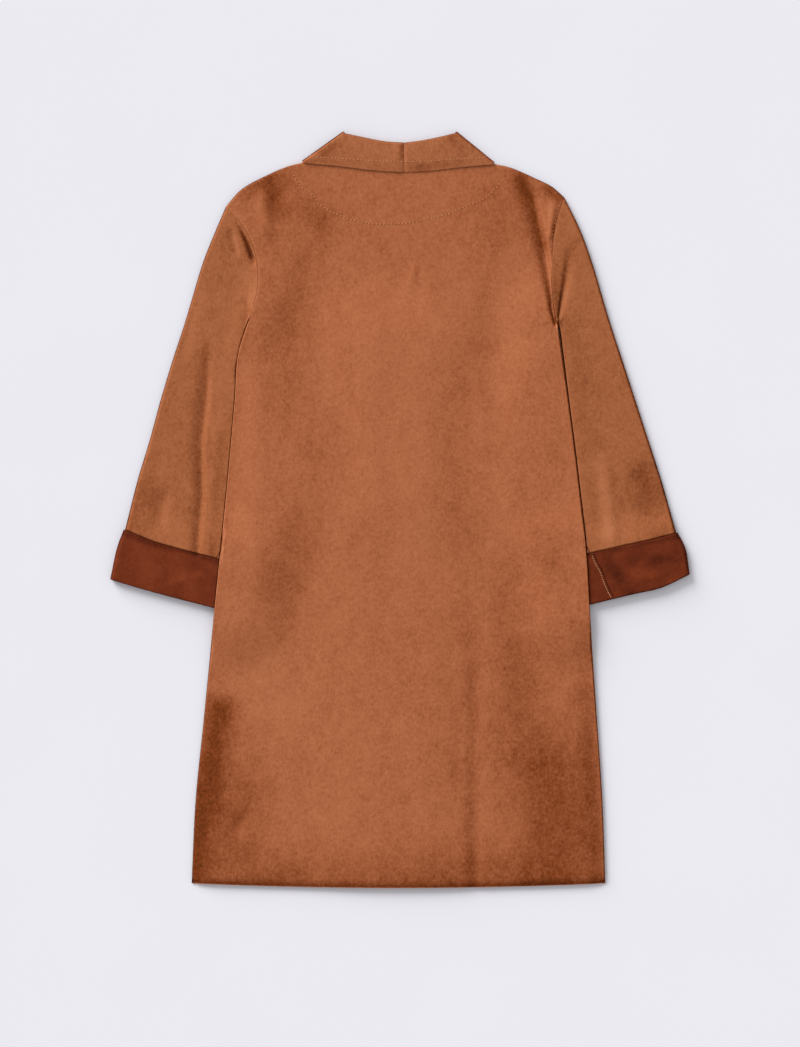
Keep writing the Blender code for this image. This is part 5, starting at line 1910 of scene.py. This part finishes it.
@dataclass
class Sewing:
    """All the topstitching and the seams that show."""

    finishes: Finishes
    plan: CoatPlan
    armhole_inset: float = 2.3
    collar_inset: float = 12.5     # from the collar's outer edge
    collar_pressed: float = 0.32   # how deep the row sinks where the coat's weight lies on it
    cuff_apart: float = 3.0        # from the cuff's beige row to the dark line of its seam

    def facing_row(self, back: Piece) -> list[Piece]:
        """Sew the curved row that holds the neck facing, on the back.

        Args:
            back: The back's sheet.

        Returns:
            The row, and the dark beads of painted shade in its needle holes.
        """
        line = Curve(list(FACING_LINE))(np.linspace(0.0, 1.0, 160))
        row = StitchRow("stitches_facing", TOPSTITCH, self.finishes.thread, "suede")
        holes = StitchRow("needle_hole_shade_facing", NEEDLE_HOLE_SHADE, self.finishes.hole_thread, "suede", 0.0)
        return [row.sew_on(back, line, Facing.UP), holes.sew_on(back, line, Facing.UP)]

    def armhole_rows(self, back: Piece) -> list[Piece]:
        """Sew a row beside each armhole, on the back.

        Args:
            back: The back's sheet.

        Returns:
            Both rows.
        """
        rows = []
        for side, cut in CUTS.items():
            seam = Curve(list(cut.armhole)).shifted(-self.armhole_inset * side.sign)
            line = seam(np.linspace(0.03, 0.96, 70))
            row = StitchRow("stitches_armhole_" + side.value, ARMHOLE_STITCH, self.finishes.thread,
                            "suede")
            rows.append(row.sew_on(back, line, Facing.UP))
        return rows

    def collar_row(self, side: Side) -> Piece:
        """Sew a row inside a collar half's outer edge.

        Args:
            side: Which half.

        Returns:
            The finished row.
        """
        strip = self.plan.strips[side]
        places, normals = [], []
        for section, station in zip(self.plan.collar_grid(side), strip.stations()):
            fall = section[:strip.fall_points]
            run = distances(fall)
            place = along_line(min(self.collar_inset, 0.45 * run[-1]), run, fall)
            pressed = self.collar_pressed * max(0.0, -station[2][2])
            places.append(place + station[2] * (WALL / 2 - pressed))
            normals.append(station[2])
        row = StitchRow("stitches_collar_" + side.value, COLLAR_STITCH, self.finishes.thread,
                        "suede_collar")
        return row.sew(np.array(places), np.array(normals))

    def cuff_seam(self, cuff: Piece) -> list[Piece]:
        """Sew the right cuff's seam: a dark line of beads for the painted shadow in its seam, and the beige
        row beside it.

        Args:
            cuff: The right cuff's sheet.

        Returns:
            Both rows.
        """
        seam = Curve(list(CUFF_SEAM))
        share = np.linspace(0.02, 0.97, 60)
        dark = StitchRow("seam_shadow_cuff_right", CUFF_SEAM_SHADOW, self.finishes.seam_thread, "reverse")
        pale = StitchRow("stitches_cuff_right", CUFF_STITCH, self.finishes.pale_thread, "reverse")
        return [dark.sew_on(cuff, seam.shifted(self.cuff_apart)(share), Facing.UP),
                pale.sew_on(cuff, seam(share), Facing.UP)]

    def sleeve_seam(self, side: Side, sleeve: Piece) -> list[Piece]:
        """Draw the end of a sleeve's underarm seam, which shows just above its cuff, as a dark line of beads
        for the painted shadow in the seam.

        Args:
            side: Which side.
            sleeve: That sleeve's sheet.

        Returns:
            The seam, in a list.
        """
        seam = Curve(list(SLEEVE_SEAMS[side]))
        row = StitchRow("seam_shadow_sleeve_" + side.value, SLEEVE_SEAM_SHADOW, self.finishes.seam_thread,
                        "suede_sleeve")
        return [row.sew_on(sleeve, seam(np.linspace(0.0, 1.0, 20)), Facing.UP)]


# ------------ the coat


@dataclass
class Buttons:
    """The row of buttons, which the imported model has, and the thread that holds them."""

    finishes: Finishes
    hole_offset: float = 2.2   # of each hole from the button's centre
    bar_radius: float = 0.42
    bar_height: float = 0.35
    bar_ends: float = 0.8      # how much longer a bar is than its holes are apart
    shank_radius: float = 1.7
    shank_length: float = 0.9
    shank_height: float = 2.7

    def build(self) -> None:
        """Give the buttons their resin, and sew each on with two bars and a shank of thread."""
        for index, y in enumerate(BUTTON_YS, start=1):
            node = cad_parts[f"button_{index}"]
            for slot in node.material_slots:
                slot.material = self.finishes.resin
            self.sew_on(f"button_thread_{index}", y)

    def sew_on(self, name: str, y: float) -> None:
        """Model one button's thread: a bar over each pair of holes, and the shank behind.

        Args:
            name: The piece's name.
            y: The button's centre.
        """
        bpy.ops.object.select_all(action="DESELECT")
        parts = []
        across = self.hole_offset * math.sin(math.radians(45.0))
        for x in (-across, across):
            bpy.ops.mesh.primitive_cylinder_add(
                vertices=12, radius=self.bar_radius * MM, depth=(2 * across + self.bar_ends) * MM,
                location=(x * MM, y * MM, self.bar_height * MM), rotation=(math.pi / 2, 0.0, 0.0))
            parts.append(bpy.context.active_object)
        bpy.ops.mesh.primitive_cylinder_add(
            vertices=16, radius=self.shank_radius * MM, depth=self.shank_length * MM,
            location=(0.0, y * MM, self.shank_height * MM))
        parts.append(bpy.context.active_object)
        for part in parts:
            part.select_set(True)
        bpy.ops.object.join()
        thread = bpy.context.active_object
        thread.name = thread.data.name = name
        bpy.ops.object.transform_apply(location=True, rotation=True, scale=True)
        bpy.ops.object.shade_smooth_by_angle(angle=math.radians(40.0))
        thread.data.materials.append(self.finishes.seam_thread)
        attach(thread, ROOT)
        LOG.info("%s: two bars and a shank", name)


@dataclass
class Body:
    """The back and the two fronts."""

    finishes: Finishes
    plan: CoatPlan

    def build(self) -> dict[str, ClothPiece]:
        """Make the three panels.

        Returns:
            Each panel by its node.
        """
        panels: dict[str, ClothPiece] = {
            "back": BackPiece("back", self.finishes.body, self.finishes.inner_side, "suede",
                              (0.52, 0.90), 0.400, ("front_left_cloth", "front_right_cloth"),
                              plan=self.plan)}
        for side in CUTS:
            node = "front_" + side.value
            panels[node] = FrontPiece(node, self.finishes.body, self.finishes.inner_side, "suede",
                                      (0.30, 0.87), 0.200, ("pale_floor",), facing=Facing.DOWN,
                                      plan=self.plan, side=side)
        for panel in panels.values():
            panel.build()
        return panels


@dataclass
class CollarPair:
    """The two halves of the shawl collar."""

    finishes: Finishes
    plan: CoatPlan

    def build(self) -> dict[str, ClothPiece]:
        """Make both halves.

        Returns:
            Each half by its node.
        """
        halves = {}
        for side, strip in self.plan.strips.items():
            node = "collar_" + side.value
            halves[node] = CollarPiece(node, self.finishes.collar, self.finishes.inner_side,
                                       "suede_collar", (0.14, 0.56), 0.038, ("back_cloth",),
                                       strip=strip, plan=self.plan)
            halves[node].build()
        return halves


@dataclass
class Sleeves:
    """The two sleeves and their turned-back cuffs."""

    finishes: Finishes
    plan: CoatPlan

    def build(self) -> dict[str, ClothPiece]:
        """Make both sleeves and both cuffs.

        Returns:
            Each piece by its node.
        """
        tubes = {Side.LEFT: SleeveTube(CUTS[Side.LEFT], self.plan, (1.15, 1.15), 0.5, 1.15),
                 Side.RIGHT: SleeveTube(CUTS[Side.RIGHT], self.plan, (2.6, 1.3), 0.9, 1.5)}
        made: dict[str, ClothPiece] = {}
        for side, tube in tubes.items():
            node = "sleeve_" + side.value
            made[node] = SleevePiece(node, self.finishes.sleeve, self.finishes.inner_side,
                                     "suede_sleeve", (0.36, 0.50), 0.115, ("pale_floor",),
                                     closed=True, tube=tube)
            node = "cuff_" + side.value
            made[node] = CuffPiece(node, self.finishes.reverse, self.finishes.sleeve, "reverse",
                                   (0.33, 0.08), 0.025, ("pale_floor",), closed=True, tube=tube)
        for piece in made.values():
            piece.build()
        return made


# ------------ studio


@dataclass
class Studio:
    """The pale floor, the soft light from the upper left and the camera overhead."""

    finishes: Finishes
    floor_size: float = 9.0
    floor_drop: float = 0.0001                     # how far it lies under the coat
    sky: float = 0.54
    sun: float = 4.22
    sun_elevation: float = 20.0
    sun_spread: float = 36.0
    sun_run: tuple[float, float] = (0.64, -0.77)   # which way its light travels, in plan
    lens: float = 150.0
    view_height: float = 1.3035
    view_centre: tuple[float, float] = (0.0, -0.0171)
    view_level: float = 0.006                      # height where the view is that high

    def build(self) -> None:
        """Make the floor, the lights and the camera."""
        self.make_floor()
        self.make_light()
        self.make_camera()
        bpy.context.scene.view_settings.view_transform = "Standard"

    def make_floor(self) -> None:
        """Lay the pale floor just under the coat."""
        bpy.ops.object.select_all(action="DESELECT")
        bpy.ops.mesh.primitive_plane_add(size=self.floor_size, location=(0.0, 0.0, -self.floor_drop))
        floor = bpy.context.active_object
        floor.name = floor.data.name = "pale_floor"
        floor.data.materials.append(self.finishes.paper)

    def make_light(self) -> None:
        """Light it evenly, with a broad light low in the upper left."""
        world = bpy.data.worlds.new("studio_sky")
        world.use_nodes = True
        sky = world.node_tree.nodes["Background"]
        sky.inputs["Color"].default_value = (1.0, 1.0, 1.0, 1.0)
        sky.inputs["Strength"].default_value = self.sky
        bpy.context.scene.world = world
        light = bpy.data.lights.new("soft_window", "SUN")
        light.energy = self.sun
        light.angle = math.radians(self.sun_spread)
        lamp = bpy.data.objects.new("soft_window", light)
        bpy.context.scene.collection.objects.link(lamp)
        low = math.radians(self.sun_elevation)
        travel = Vector((*(run * math.cos(low) for run in self.sun_run), -math.sin(low)))
        lamp.rotation_euler = travel.to_track_quat("-Z", "Y").to_euler()

    def make_camera(self) -> None:
        """Look straight down from far away, as the photo does."""
        data = bpy.data.cameras.new("overhead")
        data.lens = self.lens
        data.dof.use_dof = False
        camera = bpy.data.objects.new("overhead", data)
        bpy.context.scene.collection.objects.link(camera)
        away = self.view_height * self.lens / data.sensor_width
        camera.location = (*self.view_centre, away + self.view_level)
        bpy.context.scene.camera = camera


def main() -> None:
    """Build the coat piece by piece, then the studio."""
    logging.basicConfig(level=logging.INFO, format="%(name)s: %(message)s")
    finishes = Finishes.make()
    plan = CoatPlan()
    Studio(finishes).build()
    sewing = Sewing(finishes, plan)
    panels = Body(finishes, plan).build()
    halves = CollarPair(finishes, plan).build()
    limbs = Sleeves(finishes, plan).build()
    back = panels["back"]
    back.declare(sewing.facing_row(back.piece) + sewing.armhole_rows(back.piece))
    for side in CUTS:
        panels["front_" + side.value].declare([])
        halves["collar_" + side.value].declare([sewing.collar_row(side)])
        sleeve = limbs["sleeve_" + side.value]
        sleeve.declare(sewing.sleeve_seam(side, sleeve.piece))
    limbs["cuff_left"].declare([])
    limbs["cuff_right"].declare(sewing.cuff_seam(limbs["cuff_right"].piece))
    Buttons(finishes).build()


if __name__ == "__main__":
    main()
